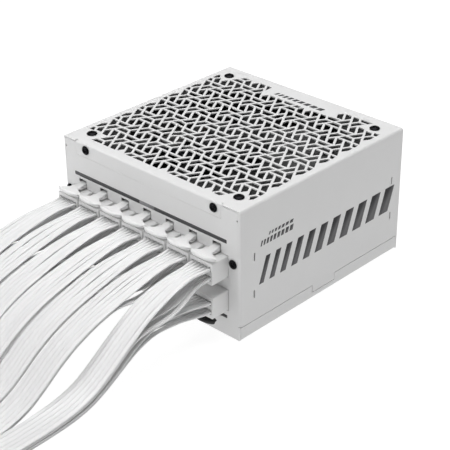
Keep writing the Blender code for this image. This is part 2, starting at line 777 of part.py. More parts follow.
def hank():
    """The rest of the cables, folded side by side; the connectors lie in the step at its end."""
    outline = [
        (HANK_Y[1], HANK_Z[0]), (HANK_Y[1], HANK_Z[1]), (HANK_STEP_Y, HANK_Z[1]),
        (HANK_STEP_Y, HANK_STEP_Z), (HANK_Y[0], HANK_STEP_Z), (HANK_Y[0], HANK_Z[0]),
    ]
    width = SOCKET_PITCH * (SOCKETS - 1) + CABLE_WIDTH
    return plate("cable_hank", outline, [], width, sideways(SOCKET_MIDDLE_X), WHITE_CABLE)


def cable_tie():
    """A strap round the folded cables."""
    half = (SOCKET_PITCH * (SOCKETS - 1) + CABLE_WIDTH) / 2 + GAP
    low_x, high_x = SOCKET_MIDDLE_X - half, SOCKET_MIDDLE_X + half
    low_z, high_z = HANK_Z[0] - GAP, HANK_Z[1] + GAP
    t = TIE_SHEET
    outer = rectangle(low_x - t, high_x + t, low_z - t, high_z + t)
    inner = rectangle(low_x, high_x, low_z, high_z)
    middle = upright(sum(TIE_Y) / 2)
    return plate("cable_tie", outer, [inner], TIE_Y[1] - TIE_Y[0], middle, BLACK_PLASTIC)


def far_connectors():
    """The connectors on the cables' other ends, side by side, three of them on a second layer."""
    half = PLUG_WIDTH / 2
    ends = (HANK_Y[0], HANK_STEP_Y - GAP)
    low = (socket_x(0) - half, ends[0], CONNECTOR_Z[0])
    row = box("far_connectors", low, (socket_x(6) + half, ends[1], CONNECTOR_Z[1]), WHITE_PLASTIC)
    for i in LOWER_PLACES:
        x = socket_x(i)
        low = (x - half, ends[0] + 0.001, CONNECTOR_Z[1] - 0.0005)
        join(row, box("second_layer", low, (x + half, ends[1] - 0.001, CONNECTOR_TOP_Z)))
    return row


def plugs_and_cables():
    rows = [("upper", i, UPPER_Z, 1, upper_route(i)) for i in range(SOCKETS)]
    rows += [("lower", i, LOWER_Z, -1, LOWER_ROUTE) for i in LOWER_PLACES]
    for row, i, z, up, route in rows:
        name = f"{row}_{i + 1}"
        x = socket_x(i)
        plug(f"plug_{name}", x, z, up)
        latch(f"latch_{name}", x, z, up)
        flat_cable(f"cable_{name}", x, route)
    hank()
    cable_tie()
    far_connectors()


# Rear panel's inlet and switch


def ac_inlet():
    """A mains appliance inlet: flange, shell, cavity with two cut corners, and three pins."""
    rim_y, back_y = 0.0770, INLET_BACK_Y
    w, h, c = 0.0123, 0.0083, 0.004
    cavity = [(-w, -h), (w, -h), (w, h - c), (w - c, h), (c - w, h), (-w, h - c)]
    cavity = [(INLET_X + x, INLET_Z + z) for x, z in cavity]
    shell = window_round(INLET_X, INLET_Z, INLET_HALF)
    middle = upright((rim_y + back_y) / 2)
    inlet = plate("ac_inlet", shell, [cavity], rim_y - back_y, middle, BLACK_PLASTIC)
    flange = window_round(INLET_X, INLET_Z, INLET_FLANGE_HALF)
    join(inlet, plate("inlet_flange", flange, [cavity], 0.0018, upright(REAR_Y + GAP + 0.0009)))
    half_x, half_z = INLET_HALF
    low, high = (INLET_X - half_x, back_y, INLET_Z - half_z), (INLET_X + half_x, 0.0600, INLET_Z + half_z)
    join(inlet, box("inlet_back", low, high))
    for x, z in ((-0.007, -0.002), (0.007, -0.002), (0, 0.002)):
        pin_low = (INLET_X + x - 0.001, 0.0590, INLET_Z + z - 0.002)
        join(inlet, box("pin", pin_low, (INLET_X + x + 0.001, 0.0710, INLET_Z + z + 0.002)))
    return inlet


def rocker_bezel():
    window = window_round(INLET_X, SWITCH_Z, (0.0085, 0.0056))
    shell = window_round(INLET_X, SWITCH_Z, SWITCH_HALF)
    flange = window_round(INLET_X, SWITCH_Z, SWITCH_HALF, 0.001)
    front, back = REAR_Y + GAP + BEZEL_SHEET, SWITCH_BACK_Y
    bezel = plate("rocker_bezel", shell, [window], front - back, upright((front + back) / 2), BLACK_PLASTIC)
    flange_y = REAR_Y + GAP + BEZEL_SHEET / 2
    join(bezel, plate("bezel_flange", flange, [window], BEZEL_SHEET, upright(flange_y)))
    half_x, half_z = SWITCH_HALF
    low, high = (INLET_X - half_x, back, SWITCH_Z - half_z), (INLET_X + half_x, 0.0620, SWITCH_Z + half_z)
    join(bezel, box("bezel_back", low, high))
    return bezel


def rocker():
    """A rocker that tips about its origin; at rest it is tipped to one side, the off position."""
    face = [(-0.0076, 0.0026), (0, 0.0012), (0.0076, 0.0026)]
    back = [(0.0062, -0.0030), (0.0020, -0.0050), (-0.0020, -0.0050), (-0.0062, -0.0030)]
    key = plate("rocker", (face + back)[::-1], [], 0.0104, Matrix.Identity(4), BLACK_PLASTIC)
    tip = Matrix.Rotation(ROCKER_TILT, 4, "Z")
    key.matrix_world = Matrix.Translation((INLET_X, ROCKER_PIVOT_Y, SWITCH_Z)) @ tip
    return key


clear_scene()
PARTS = new_collection("power_supply_unit")
TOOLS = new_collection("cutters")
WHITE_STEEL = finish("white_powder_coat", (0.80, 0.80, 0.80), 0.5)
BLACK_STEEL = finish("black_screws", (0.012, 0.012, 0.012), 0.4)
BLACK_PLASTIC = finish("black_plastic", (0.015, 0.015, 0.016), 0.45)
WHITE_PLASTIC = finish("white_nylon", (0.78, 0.78, 0.77), 0.45)
WHITE_CABLE = finish("white_pvc", (0.82, 0.82, 0.82), 0.5)
GREEN_BOARD = finish("circuit_board", (0.02, 0.10, 0.045), 0.4)
CLEAR_FILM = finish("insulation_film", (0.55, 0.55, 0.50), 0.35)
ALUMINIUM = finish("aluminium", (0.60, 0.61, 0.62), 0.4, 1.0)
FERRITE = finish("ferrite", (0.035, 0.035, 0.038), 0.6)
COPPER = finish("copper_winding", (0.50, 0.20, 0.09), 0.35, 1.0)

base_tray()
top_cover()
screws()
fan_frame()
fan_rotor()
fan_motor()
boards()
heatsink("primary_heatsink", -0.040, 0.016, 0.050)
heatsink("secondary_heatsink", 0.048, 0.034, 0.030)
transformer()
bulk_capacitor()
filter_choke()
socket_row("upper_sockets", tuple(range(SOCKETS)), UPPER_Z, 1)
socket_row("lower_sockets", LOWER_PLACES, LOWER_Z, -1)
ac_inlet()
rocker_bezel()
rocker()
plugs_and_cables()
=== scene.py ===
"""Visual model of a white modular power supply unit for desktop computers.

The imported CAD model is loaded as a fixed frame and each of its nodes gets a
finish, or a finer piece in its place: a folded cover with a pierced fan guard,
plugs with thumb latches, cables of single wires, a fan, and the rear panel's
inlet and switch. Lengths are in metres, with +Z up and the sockets towards -Y.
"""

import logging  # noqa: E402
import math  # noqa: E402
from dataclasses import dataclass, field  # noqa: E402
from enum import Enum  # noqa: E402
from typing import Iterable, Mapping, Sequence  # noqa: E402

import bmesh  # noqa: E402
import bpy  # noqa: E402
import numpy as np  # noqa: E402
from mathutils import Matrix, Vector  # noqa: E402
from mathutils.geometry import delaunay_2d_cdt  # noqa: E402


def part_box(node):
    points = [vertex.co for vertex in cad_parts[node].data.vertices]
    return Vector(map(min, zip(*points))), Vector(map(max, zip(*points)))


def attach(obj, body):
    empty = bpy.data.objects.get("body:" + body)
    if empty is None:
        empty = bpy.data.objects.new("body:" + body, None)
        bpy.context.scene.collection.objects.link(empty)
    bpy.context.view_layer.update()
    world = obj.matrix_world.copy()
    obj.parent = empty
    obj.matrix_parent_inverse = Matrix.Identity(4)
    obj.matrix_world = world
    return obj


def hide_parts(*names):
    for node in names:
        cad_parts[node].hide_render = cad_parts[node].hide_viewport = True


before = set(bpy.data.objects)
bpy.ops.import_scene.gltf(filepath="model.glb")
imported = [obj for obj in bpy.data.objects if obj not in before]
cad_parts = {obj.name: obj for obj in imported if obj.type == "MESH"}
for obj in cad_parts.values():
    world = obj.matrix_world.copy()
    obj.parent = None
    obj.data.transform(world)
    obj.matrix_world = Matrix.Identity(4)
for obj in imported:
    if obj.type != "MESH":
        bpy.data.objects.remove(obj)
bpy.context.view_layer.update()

LOG = logging.getLogger("power_supply")

Pair = tuple[float, float]
Triple = tuple[float, float, float]
Loop = Sequence[Pair]
Array = np.ndarray
MM = 0.001
FULL_TURN = 2 * math.pi
QUARTER_TURN = math.pi / 2
BEHIND, CENTRED = -1.0, 0.0
MERGE_DISTANCE = 1e-6
MESH_TOLERANCE = 1e-7


# Colours and nodes


def linear(code: str) -> tuple[float, float, float, float]:
    """Turns an sRGB hex colour into the linear one that a shader takes.

    Args:
        code: Six hex digits after a hash sign.

    Returns:
        Linear red, green, blue and an alpha of one.
    """
    channels = np.array([int(code[i : i + 2], 16) for i in (1, 3, 5)]) / 255
    bright = ((channels + 0.055) / 1.055) ** 2.4
    red, green, blue = np.where(channels <= 0.04045, channels / 12.92, bright)
    return float(red), float(green), float(blue), 1.0


def add_node(
    tree: bpy.types.NodeTree,
    kind: str,
    settings: Mapping[str | int, object] | None = None,
    links: Mapping[str | int, bpy.types.NodeSocket] | None = None,
) -> bpy.types.Node:
    """Adds a shader node, with its settings and what is plugged into it.

    Args:
        tree: The material's node tree.
        kind: The node's Blender type.
        settings: Values by the name of a node property, or of an input.
        links: Output sockets by the name or number of the input they feed.

    Returns:
        The new node.
    """
    node = tree.nodes.new(kind)
    for key, value in (settings or {}).items():
        if isinstance(key, str) and hasattr(node, key):
            setattr(node, key, value)
        else:
            node.inputs[key].default_value = value
    for key, output in (links or {}).items():
        tree.links.new(output, node.inputs[key])
    return node


# Finishes


class Slot(Enum):
    """The material slots that the finishes name."""

    COAT = "white_powder_coat"
    SCREW = "black_screw"
    BLACK_PLASTIC = "black_plastic"
    NYLON = "white_nylon"
    WIRE = "white_wire"
    STRAP = "black_strap"
    BOARD = "circuit_board"
    FILM = "insulation_film"
    ALUMINIUM = "aluminium"
    FERRITE = "ferrite"
    SLEEVE = "capacitor_sleeve"
    COPPER = "copper_winding"


class Relief(Enum):
    """How a finish's surface is broken up, as the scale of its pattern along X, Y and Z."""

    GRAIN = (1.0, 1.0, 1.0)
    ALONG_X = (0.03, 1.0, 1.0)
    ALONG_Y = (1.0, 0.03, 1.0)
    TURNS = (0.0, 0.0, 1.0)
    WEAVE = (1.0, 1.0, 0.9)
    TRACKS = (1.0, 1.0, 0.8)


@dataclass(frozen=True)
class Finish:
    """One real material: its colours, its gloss, and the size and depth of its texture.

    Its name is its common one and how it was made. Lengths are in metres.

    Fields:
        shade: The colour that it drifts towards in patches.
        roughness: The middle of its roughness.
        grain: The width of one grain, thread or turn.
        depth: The height of the relief.
        relief: How the texture lies.
        coat: The weight of a clear layer on top.
        drift: How much of the shade colour shows.
        patch: The size of those patches.
        gloss_band: How far roughness goes below and above its middle.
    """

    name: str
    slot: Slot
    colour: str
    shade: str
    roughness: float
    grain: float
    depth: float
    relief: Relief = Relief.GRAIN
    metallic: float = 0.0
    ior: float = 1.5
    coat: float = 0.0
    drift: float = 0.5
    patch: float = 0.02
    gloss_band: Pair = (-0.05, 0.07)

    def material(self) -> bpy.types.Material:
        """Makes the material at its first use, and gives it again after that."""
        made = bpy.data.materials.get(self.name)
        if made:
            return made
        made = bpy.data.materials.new(self.name)
        made.use_nodes = True
        tree = made.node_tree
        tree.nodes.clear()
        shader = add_node(tree, "ShaderNodeBsdfPrincipled", self.uniform_values())
        place = {"Vector": add_node(tree, "ShaderNodeTexCoord").outputs["Object"]}
        scaled = add_node(tree, "ShaderNodeMapping", {"Scale": self.relief.value}, place)
        height = {"Height": self.pattern(tree, scaled.outputs["Vector"])}
        bump = add_node(
            tree, "ShaderNodeBump", {"Strength": 1.0, "Distance": self.depth}, height
        )
        settings = {"Scale": 1 / self.patch, "Detail": 3.0, "Roughness": 0.6}
        patches = add_node(tree, "ShaderNodeTexNoise", settings, place).outputs["Fac"]
        settings = {"operation": "MULTIPLY", 1: self.drift}
        share = add_node(tree, "ShaderNodeMath", settings, {0: patches})
        settings = {"data_type": "RGBA", 6: linear(self.colour), 7: linear(self.shade)}
        mixed = add_node(tree, "ShaderNodeMix", settings, {0: share.outputs[0]})
        low, high = self.gloss_band
        settings = {"To Min": self.roughness + low, "To Max": self.roughness + high}
        gloss = add_node(tree, "ShaderNodeMapRange", settings, {"Value": patches})
        tree.links.new(bump.outputs[0], shader.inputs["Normal"])
        tree.links.new(gloss.outputs[0], shader.inputs["Roughness"])
        tree.links.new(mixed.outputs[2], shader.inputs["Base Color"])
        self.extra(tree, shader)
        add_node(tree, "ShaderNodeOutputMaterial", {}, {"Surface": shader.outputs[0]})
        return made

    def uniform_values(self) -> dict[str, float]:
        """The shader's values that are the same all over the surface."""
        values = {"Metallic": self.metallic}
        if not self.metallic:
            values["IOR"] = self.ior
        if self.coat:
            values |= {"Coat Weight": self.coat, "Coat Roughness": 0.12}
        return values

    def pattern(
        self, tree: bpy.types.NodeTree, place: bpy.types.NodeSocket
    ) -> bpy.types.NodeSocket:
        """Adds the texture whose value is the surface's height.

        Args:
            tree: The material's node tree.
            place: The coordinates, in metres, stretched as the relief says.

        Returns:
            The height, from 0 to 1.
        """
        kind = "ShaderNodeTexNoise"
        settings = {"Scale": 1 / self.grain, "Detail": 2.0, "Roughness": 0.5}
        if self.relief is Relief.TURNS:
            kind = "ShaderNodeTexWave"
            settings = {"bands_direction": "Z", "Scale": 0.32 / self.grain, "Distortion": 0.4}
        elif self.relief is Relief.WEAVE:
            kind = "ShaderNodeTexBrick"
            settings = {"offset": 0.5, "Scale": 1.0, "Mortar Size": self.grain * 0.16}
            settings |= {"Brick Width": self.grain * 2, "Row Height": self.grain}
        elif self.relief is Relief.TRACKS:
            kind = "ShaderNodeTexVoronoi"
            settings = {"feature": "DISTANCE_TO_EDGE", "Scale": 1 / self.grain}
        output = "Distance" if self.relief is Relief.TRACKS else "Fac"
        return add_node(tree, kind, settings, {"Vector": place}).outputs[output]

    def extra(self, tree: bpy.types.NodeTree, shader: bpy.types.Node) -> None:
        """Adds what only one kind of finish has."""


@dataclass(frozen=True)
class Sleeve(Finish):
    """A wire's sleeve, whose tone differs from wire to wire."""

    def extra(self, tree: bpy.types.NodeTree, shader: bpy.types.Node) -> None:
        """Darkens each wire by its own small amount, read from its mesh."""
        tone = add_node(tree, "ShaderNodeAttribute", {"attribute_name": "tone"}).outputs["Fac"]
        plain = shader.inputs["Base Color"].links[0].from_socket
        settings = {"data_type": "RGBA", 7: linear(self.shade)}
        mixed = add_node(tree, "ShaderNodeMix", settings, {0: tone, 6: plain})
        tree.links.new(mixed.outputs[2], shader.inputs["Base Color"])


# Polyester powder coat on steel: satin white, with a fine orange peel.
POWDER_COAT = Finish(
    "powder_coated_steel", Slot.COAT, "#DFDFDF", "#DADADA", 0.45, 0.9 * MM, 0.02 * MM
)
# Screen-printed ink: flat dark grey, dried a little unevenly.
INK = Finish(
    "screen_printed_ink", Slot.COAT, "#3F3F41", "#4A4A4C", 0.5, 0.5 * MM, 0.01 * MM
)
# The same ink thinned, for a paler field inside a stripe.
PALE_INK = Finish(
    "thin_printed_ink", Slot.COAT, "#8A8A8C", "#7A7A7C", 0.5, 0.5 * MM, 0.01 * MM
)
# Black-oxide steel: dark, with a soft metal highlight.
BLACK_OXIDE = Finish(
    "black_oxide_steel", Slot.SCREW, "#1E1E20", "#141416", 0.38, 0.4 * MM, 0.01 * MM,
    metallic=1.0,
)
# Glass-filled polyester, moulded: black, slightly dull.
MOULDED_BLACK = Finish(
    "moulded_black_polyester", Slot.BLACK_PLASTIC, "#0C0C0D", "#121213", 0.45,
    0.35 * MM, 0.015 * MM,
)
# Nylon 66, moulded: milky white with a soft gloss.
MOULDED_NYLON = Finish(
    "moulded_nylon", Slot.NYLON, "#E6E6E6", "#DEDEDD", 0.4, 0.6 * MM, 0.012 * MM, ior=1.53
)
# PVC sleeve, extruded: a smooth satin white tube.
WIRE_SLEEVE = Sleeve(
    "extruded_white_pvc", Slot.WIRE, "#E6E6E6", "#D6D6D7", 0.5, 0.8 * MM, 0.015 * MM,
    Relief.ALONG_Y, drift=0.25,
)
# Woven nylon strap with hook and loop: a deep, fuzzy black.
WOVEN_STRAP = Finish(
    "woven_black_nylon", Slot.STRAP, "#131314", "#222225", 0.8, 0.7 * MM, 0.12 * MM,
    Relief.WEAVE,
)
# Epoxy fibreglass under a green solder mask: glossy, with tracks under the mask.
SOLDER_MASK = Finish(
    "green_solder_mask", Slot.BOARD, "#0E4A2C", "#16603A", 0.3, 4 * MM, 0.035 * MM,
    Relief.TRACKS, coat=0.3,
)
# Polyester film: cream, thin and shiny.
POLYESTER_FILM = Finish(
    "polyester_film", Slot.FILM, "#D9D6C4", "#CFCBB6", 0.28, 6 * MM, 0.04 * MM
)
# Extruded aluminium: drawn lines along the fins.
EXTRUDED_ALUMINIUM = Finish(
    "extruded_aluminium", Slot.ALUMINIUM, "#C9CBCD", "#B4B7BA", 0.36, 0.4 * MM, 0.02 * MM,
    Relief.ALONG_X, metallic=1.0,
)
# Nickel-plated brass, for contact blades: pale, bright metal.
NICKEL_PLATE = Finish(
    "nickel_plated_brass", Slot.ALUMINIUM, "#D6D2C8", "#C4BFB2", 0.22, 0.3 * MM, 0.006 * MM,
    Relief.ALONG_Y, metallic=1.0,
)
# Sintered ferrite and tape: matt charcoal.
SINTERED_FERRITE = Finish(
    "sintered_ferrite", Slot.FERRITE, "#2B2B2E", "#38383B", 0.62, 0.5 * MM, 0.04 * MM
)
# Shrink sleeve on a capacitor: glossy black film.
SHRINK_SLEEVE = Finish(
    "capacitor_shrink_sleeve", Slot.SLEEVE, "#17181C", "#22242B", 0.25, 5 * MM, 0.02 * MM
)
# Enamelled copper wire, wound: warm metal in close turns.
ENAMELLED_COPPER = Finish(
    "enamelled_copper", Slot.COPPER, "#B8683C", "#8C4624", 0.3, 0.9 * MM, 0.25 * MM,
    Relief.TURNS, metallic=1.0, coat=0.4,
)


# Shapes


@dataclass
class Shell:
    """The points and faces of one piece, gathered part by part."""

    points: list[Array] = field(default_factory=list)
    faces: list[list[int]] = field(default_factory=list)
    count: int = 0

    def add(self, points: Array, faces: Array | Sequence[Sequence[int]]) -> "Shell":
        """Adds a part.

        Args:
            points: Its points, one in each row.
            faces: Its faces, as the numbers of their points.

        Returns:
            The shell itself.
        """
        points = np.asarray(points, float).reshape(-1, 3)
        shifted = [[int(i) + self.count for i in face] for face in faces]
        self.points.append(points)
        self.faces += shifted
        self.count += len(points)
        return self

    def grid(self, points: Array, ring: bool = False, caps: bool = False) -> "Shell":
        """Adds a surface given as rows of points.

        Args:
            points: An array of rows, columns and three coordinates.
            ring: Whether each row closes on itself.
            caps: Whether the first and last rows are filled in.

        Returns:
            The shell itself.
        """
        rows, columns = points.shape[:2]
        row = np.arange(rows - 1)[:, None]
        column = np.arange(columns if ring else columns - 1)[None, :]
        beside = (column + 1) % columns
        corners = (row * columns + column, row * columns + beside)
        corners += ((row + 1) * columns + beside, (row + 1) * columns + column)
        faces = np.stack(corners, -1).reshape(-1, 4).tolist()
        if caps:
            first = np.arange(columns)
            faces += [first[::-1].tolist(), (first + (rows - 1) * columns).tolist()]
        return self.add(points, faces)


def anticlockwise(loop: Loop) -> Loop:
    """The loop, turned round if half the sum of its corners' cross products is negative."""
    x, y = np.array(loop).T
    doubled_area = (x * np.roll(y, -1) - y * np.roll(x, -1)).sum()
    return loop if doubled_area > 0 else loop[::-1]


def flat_sheet(
    outline: Loop,
    holes: Sequence[Loop] = (),
    creases: Iterable[tuple[Pair, Pair]] = (),
    window: Loop | None = None,
    pads: Sequence[Loop] = (),
    slots: Sequence[Loop] = (),
) -> tuple[Array, list[list[int]]]:
    """Fills a flat outline with triangles, and leaves its holes open.

    The triangles are a constrained Delaunay mesh of the outline, the holes and the creases.
    A triangle is left out where a hole covers it, inside the window and off every pad, and
    where a slot covers it.

    Args:
        outline: The sheet's corners.
        holes: Each opening's corners.
        creases: Straight lines across the sheet that triangles must not cross.
        window: Where openings are cut, or None for anywhere.
        pads: Patches that no hole cuts into.
        slots: Openings that neither the window nor the pads limit.

    Returns:
        The points in the plane, and the triangles.
    """
    window = window or outline
    loops = [anticlockwise(x) for x in (outline, window, *holes, *pads, *slots)]
    starts = np.cumsum([0] + [len(loop) for loop in loops])
    faces = [list(range(a, b)) for a, b in zip(starts, starts[1:])]
    points = [Vector(p) for loop in loops for p in loop]
    edges = []
    for ends in creases:
        edges.append((len(points), len(points) + 1))
        points += [Vector(p) for p in ends]
    made = delaunay_2d_cdt(points, edges, faces, 1, MESH_TOLERANCE)
    first_pad, first_slot = 2 + len(holes), 2 + len(holes) + len(pads)
    kept = []
    for triangle, covering in zip(made[2], made[5]):
        in_hole = any(2 <= i < first_pad for i in covering) and 1 in covering
        on_pad = any(first_pad <= i < first_slot for i in covering)
        in_slot = any(i >= first_slot for i in covering)
        if 0 in covering and not in_slot and (on_pad or not in_hole):
            kept.append(list(triangle))
    used, renumbered = np.unique(np.array(kept), return_inverse=True)
    places = np.array([tuple(p) for p in made[0]])[used]
    return places, renumbered.reshape(-1, 3).tolist()


def rectangle(low_a: float, high_a: float, low_b: float, high_b: float) -> list[Pair]:
    """The four corners of a rectangle."""
    return [(low_a, low_b), (high_a, low_b), (high_a, high_b), (low_a, high_b)]


def rounded(
    low_a: float, high_a: float, low_b: float, high_b: float, radius: float
) -> list[Pair]:
    """A rectangle's outline with quarter circles of this radius for corners."""
    turn = np.linspace(0, QUARTER_TURN, 4)
    corners = ((high_a, high_b), (low_a, high_b), (low_a, low_b), (high_a, low_b))
    outline = []
    for quarter, (a, b) in enumerate(corners):
        centre_a = a - radius * math.copysign(1, a - (low_a + high_a) / 2)
        centre_b = b - radius * math.copysign(1, b - (low_b + high_b) / 2)
        angle = turn + quarter * QUARTER_TURN
        across, up = centre_a + radius * np.cos(angle), centre_b + radius * np.sin(angle)
        outline += list(zip(across.tolist(), up.tolist()))
    return outline


def middled(x: float, z: float, half_x: float, half_z: float, radius: float = 0) -> list[Pair]:
    """A rectangle given by its middle and half sizes, with rounded corners if there's a radius."""
    sides = (x - half_x, x + half_x, z - half_z, z + half_z)
    return rounded(*sides, radius) if radius else rectangle(*sides)


def circle(a: float, b: float, radius: float, sides: int, turn: float = 0.0) -> list[Pair]:
    """A regular polygon's corners on a circle."""
    angle = turn + FULL_TURN * np.arange(sides) / sides
    return list(zip((a + radius * np.cos(angle)).tolist(), (b + radius * np.sin(angle)).tolist()))


def smoothstep(value: Array | float) -> Array:
    """Rises from 0 at 0 to 1 at 1 as three squares less two cubes, and is level beyond."""
    t = np.clip(value, 0.0, 1.0)
    return t * t * (3 - 2 * t)


def spline(points: Array, steps: int) -> Array:
    """A Catmull-Rom curve: between two points, a cubic whose slopes are half the neighbours' span.

    Args:
        points: The points that it passes through, one in each row.
        steps: How many steps it takes between two of them.

    Returns:
        The curve's points.
    """
    ends = np.vstack([2 * points[0] - points[1], points, 2 * points[-1] - points[-2]])
    a, b, c, d = (ends[i : len(ends) - 3 + i, None, :] for i in range(4))
    t = (np.arange(steps) / steps)[None, :, None]
    cubic = 2 * b + (c - a) * t + (2 * a - 5 * b + 4 * c - d) * t**2
    cubic = (cubic + (3 * b - a - 3 * c + d) * t**3) / 2
    return np.vstack([cubic.reshape(-1, points.shape[1]), points[-1:]])


def way_along(line: Array) -> Array:
    """Each point's distance from the first one, along the line."""
    return np.concatenate([[0], np.cumsum(np.linalg.norm(np.diff(line, axis=0), axis=1))])


def unit(vectors: Array) -> Array:
    """The vectors, each divided by its length."""
    return vectors / np.linalg.norm(vectors, axis=-1)[..., None]


def evenly(line: Array, step: float) -> Array:
    """The same line with points a step apart, by linear interpolation of the way along it."""
    along = way_along(line)
    places = np.linspace(0, along[-1], max(3, round(along[-1] / step) + 1))
    return np.stack([np.interp(places, along, line[:, k]) for k in range(line.shape[1])], 1)


def around(segments: int) -> Array:
    """The cosines and sines of a full turn's equal steps."""
    angle = FULL_TURN * np.arange(segments) / segments
    return np.stack([np.cos(angle), np.sin(angle)], 1)


def revolve(profile: Loop, segments: int) -> Array:
    """Turns (radius, height) about Z: x and y are the radius times cosine and sine."""
    radius, height = np.array(profile).T
    flat = radius[:, None, None] * around(segments)[None]
    tall = np.broadcast_to(height[:, None, None], (*flat.shape[:2], 1))
    return np.concatenate([flat, tall], 2)


def carried(section: Array | Loop, axis: int, places: Sequence[float]) -> Array:
    """Carries a flat section along an axis.

    Args:
        section: Its points, as their coordinates on the other two axes.
        axis: The axis: 0 for X, 1 for Y, 2 for Z.
        places: Where on the axis it is repeated.

    Returns:
        An array of places, points and three coordinates.
    """
    points = np.empty((len(places), len(section), 3))
    points[..., [k for k in range(3) if k != axis]] = np.asarray(section)
    points[..., axis] = np.asarray(places)[:, None]
    return points


# Pieces


def make_piece(
    name: str,
    shell: Shell,
    finish: Finish,
    body: str = "housing",
    outward: Triple | None = None,
    smooth_degrees: float = 35.0,
    stands_for: Sequence[str] = (),
    attributes: Mapping[str, Array] | None = None,
    wall: Pair | None = None,
    edge: tuple[float, int] | None = None,
) -> bpy.types.Object:
    """Makes an object from a shell and lets it ride on its body.

    Unless there are attributes, doubled points are merged and the normals recalculated, and an
    open sheet is then turned so that its faces look along outward on the whole.

    Args:
        name: The piece's name.
        shell: Its points and faces.
        finish: Its material.
        body: The CAD body that it moves with.
        outward: The main direction that an open sheet faces, or None for a closed shape.
        smooth_degrees: Edges that are sharper than this stay sharp.
        stands_for: The CAD nodes that it replaces.
        attributes: Values by attribute name, one for each point.
        wall: An open sheet's thickness, and whether it lies behind its faces or is centred.
        edge: How far sharp edges are rounded, and in how many steps.

    Returns:
        The object.
    """
    mesh = bpy.data.meshes.new(name)
    mesh.from_pydata(np.vstack(shell.points).tolist(), [], shell.faces)
    for key, values in (attributes or {}).items():
        mesh.attributes.new(key, "FLOAT", "POINT").data.foreach_set("value", values)
    if not attributes:
        bm = bmesh.new()
        bm.from_mesh(mesh)
        bmesh.ops.remove_doubles(bm, verts=bm.verts, dist=MERGE_DISTANCE)
        bmesh.ops.recalc_face_normals(bm, faces=bm.faces)
        if outward is not None:
            faced = sum((f.normal * f.calc_area() for f in bm.faces), Vector())
            if faced.dot(Vector(outward)) < 0:
                bmesh.ops.reverse_faces(bm, faces=bm.faces)
        bm.to_mesh(mesh)
        bm.free()
    mesh.polygons.foreach_set("use_smooth", np.ones(len(mesh.polygons), bool))
    mesh.set_sharp_from_angle(angle=math.radians(smooth_degrees))
    mesh.materials.append(finish.material())
    made = bpy.data.objects.new(name, mesh)
    bpy.context.scene.collection.objects.link(made)
    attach(made, body)
    if stands_for:
        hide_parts(*stands_for)
    if wall:
        solid = made.modifiers.new("Wall", "SOLIDIFY")
        solid.thickness, solid.offset = wall
        solid.use_even_offset = True
    if edge:
        bevel = made.modifiers.new("Edges", "BEVEL")
        bevel.width, bevel.segments = edge
        bevel.limit_method = "ANGLE"
        bevel.angle_limit = math.radians(32)
        bevel.harden_normals = True
    LOG.info("%s: %d faces", name, len(mesh.polygons))
    return made


def dress(finish: Finish, *nodes: str) -> None:
    """Gives CAD nodes that stay in view their finish.

    Args:
        finish: The material.
        nodes: The CAD nodes' names.
    """
    for name in nodes:
        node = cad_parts[name]
        node.data.materials.clear()
        node.data.materials.append(finish.material())
        LOG.info("%s: %s", name, finish.name)


def slab(
    name: str,
    loops: Sequence[Loop],
    face_y: float,
    depth: float,
    finish: Finish,
    node: str,
    edge: float = 0.0,
    outward_y: int = 1,
) -> bpy.types.Object:
    """Makes a thick plate from a drawing in XZ.

    Args:
        name: The piece's name.
        loops: The outline, then each hole.
        face_y: Where its face is.
        depth: How thick it is, behind its face.
        finish: Its material.
        node: The CAD node that it replaces.
        edge: How far its edges are rounded.
        outward_y: 1 for a face that looks along Y, -1 for one that looks the other way.

    Returns:
        The plate.
    """
    points, faces = flat_sheet(loops[0], loops[1:])
    shell = Shell().add(carried(points, 1, [face_y]), faces)
    return make_piece(
        name, shell, finish, outward=(0, outward_y, 0), stands_for=[node],
        wall=(depth, BEHIND), edge=(edge, 2) if edge else None,
    )


# Camera, floor and light


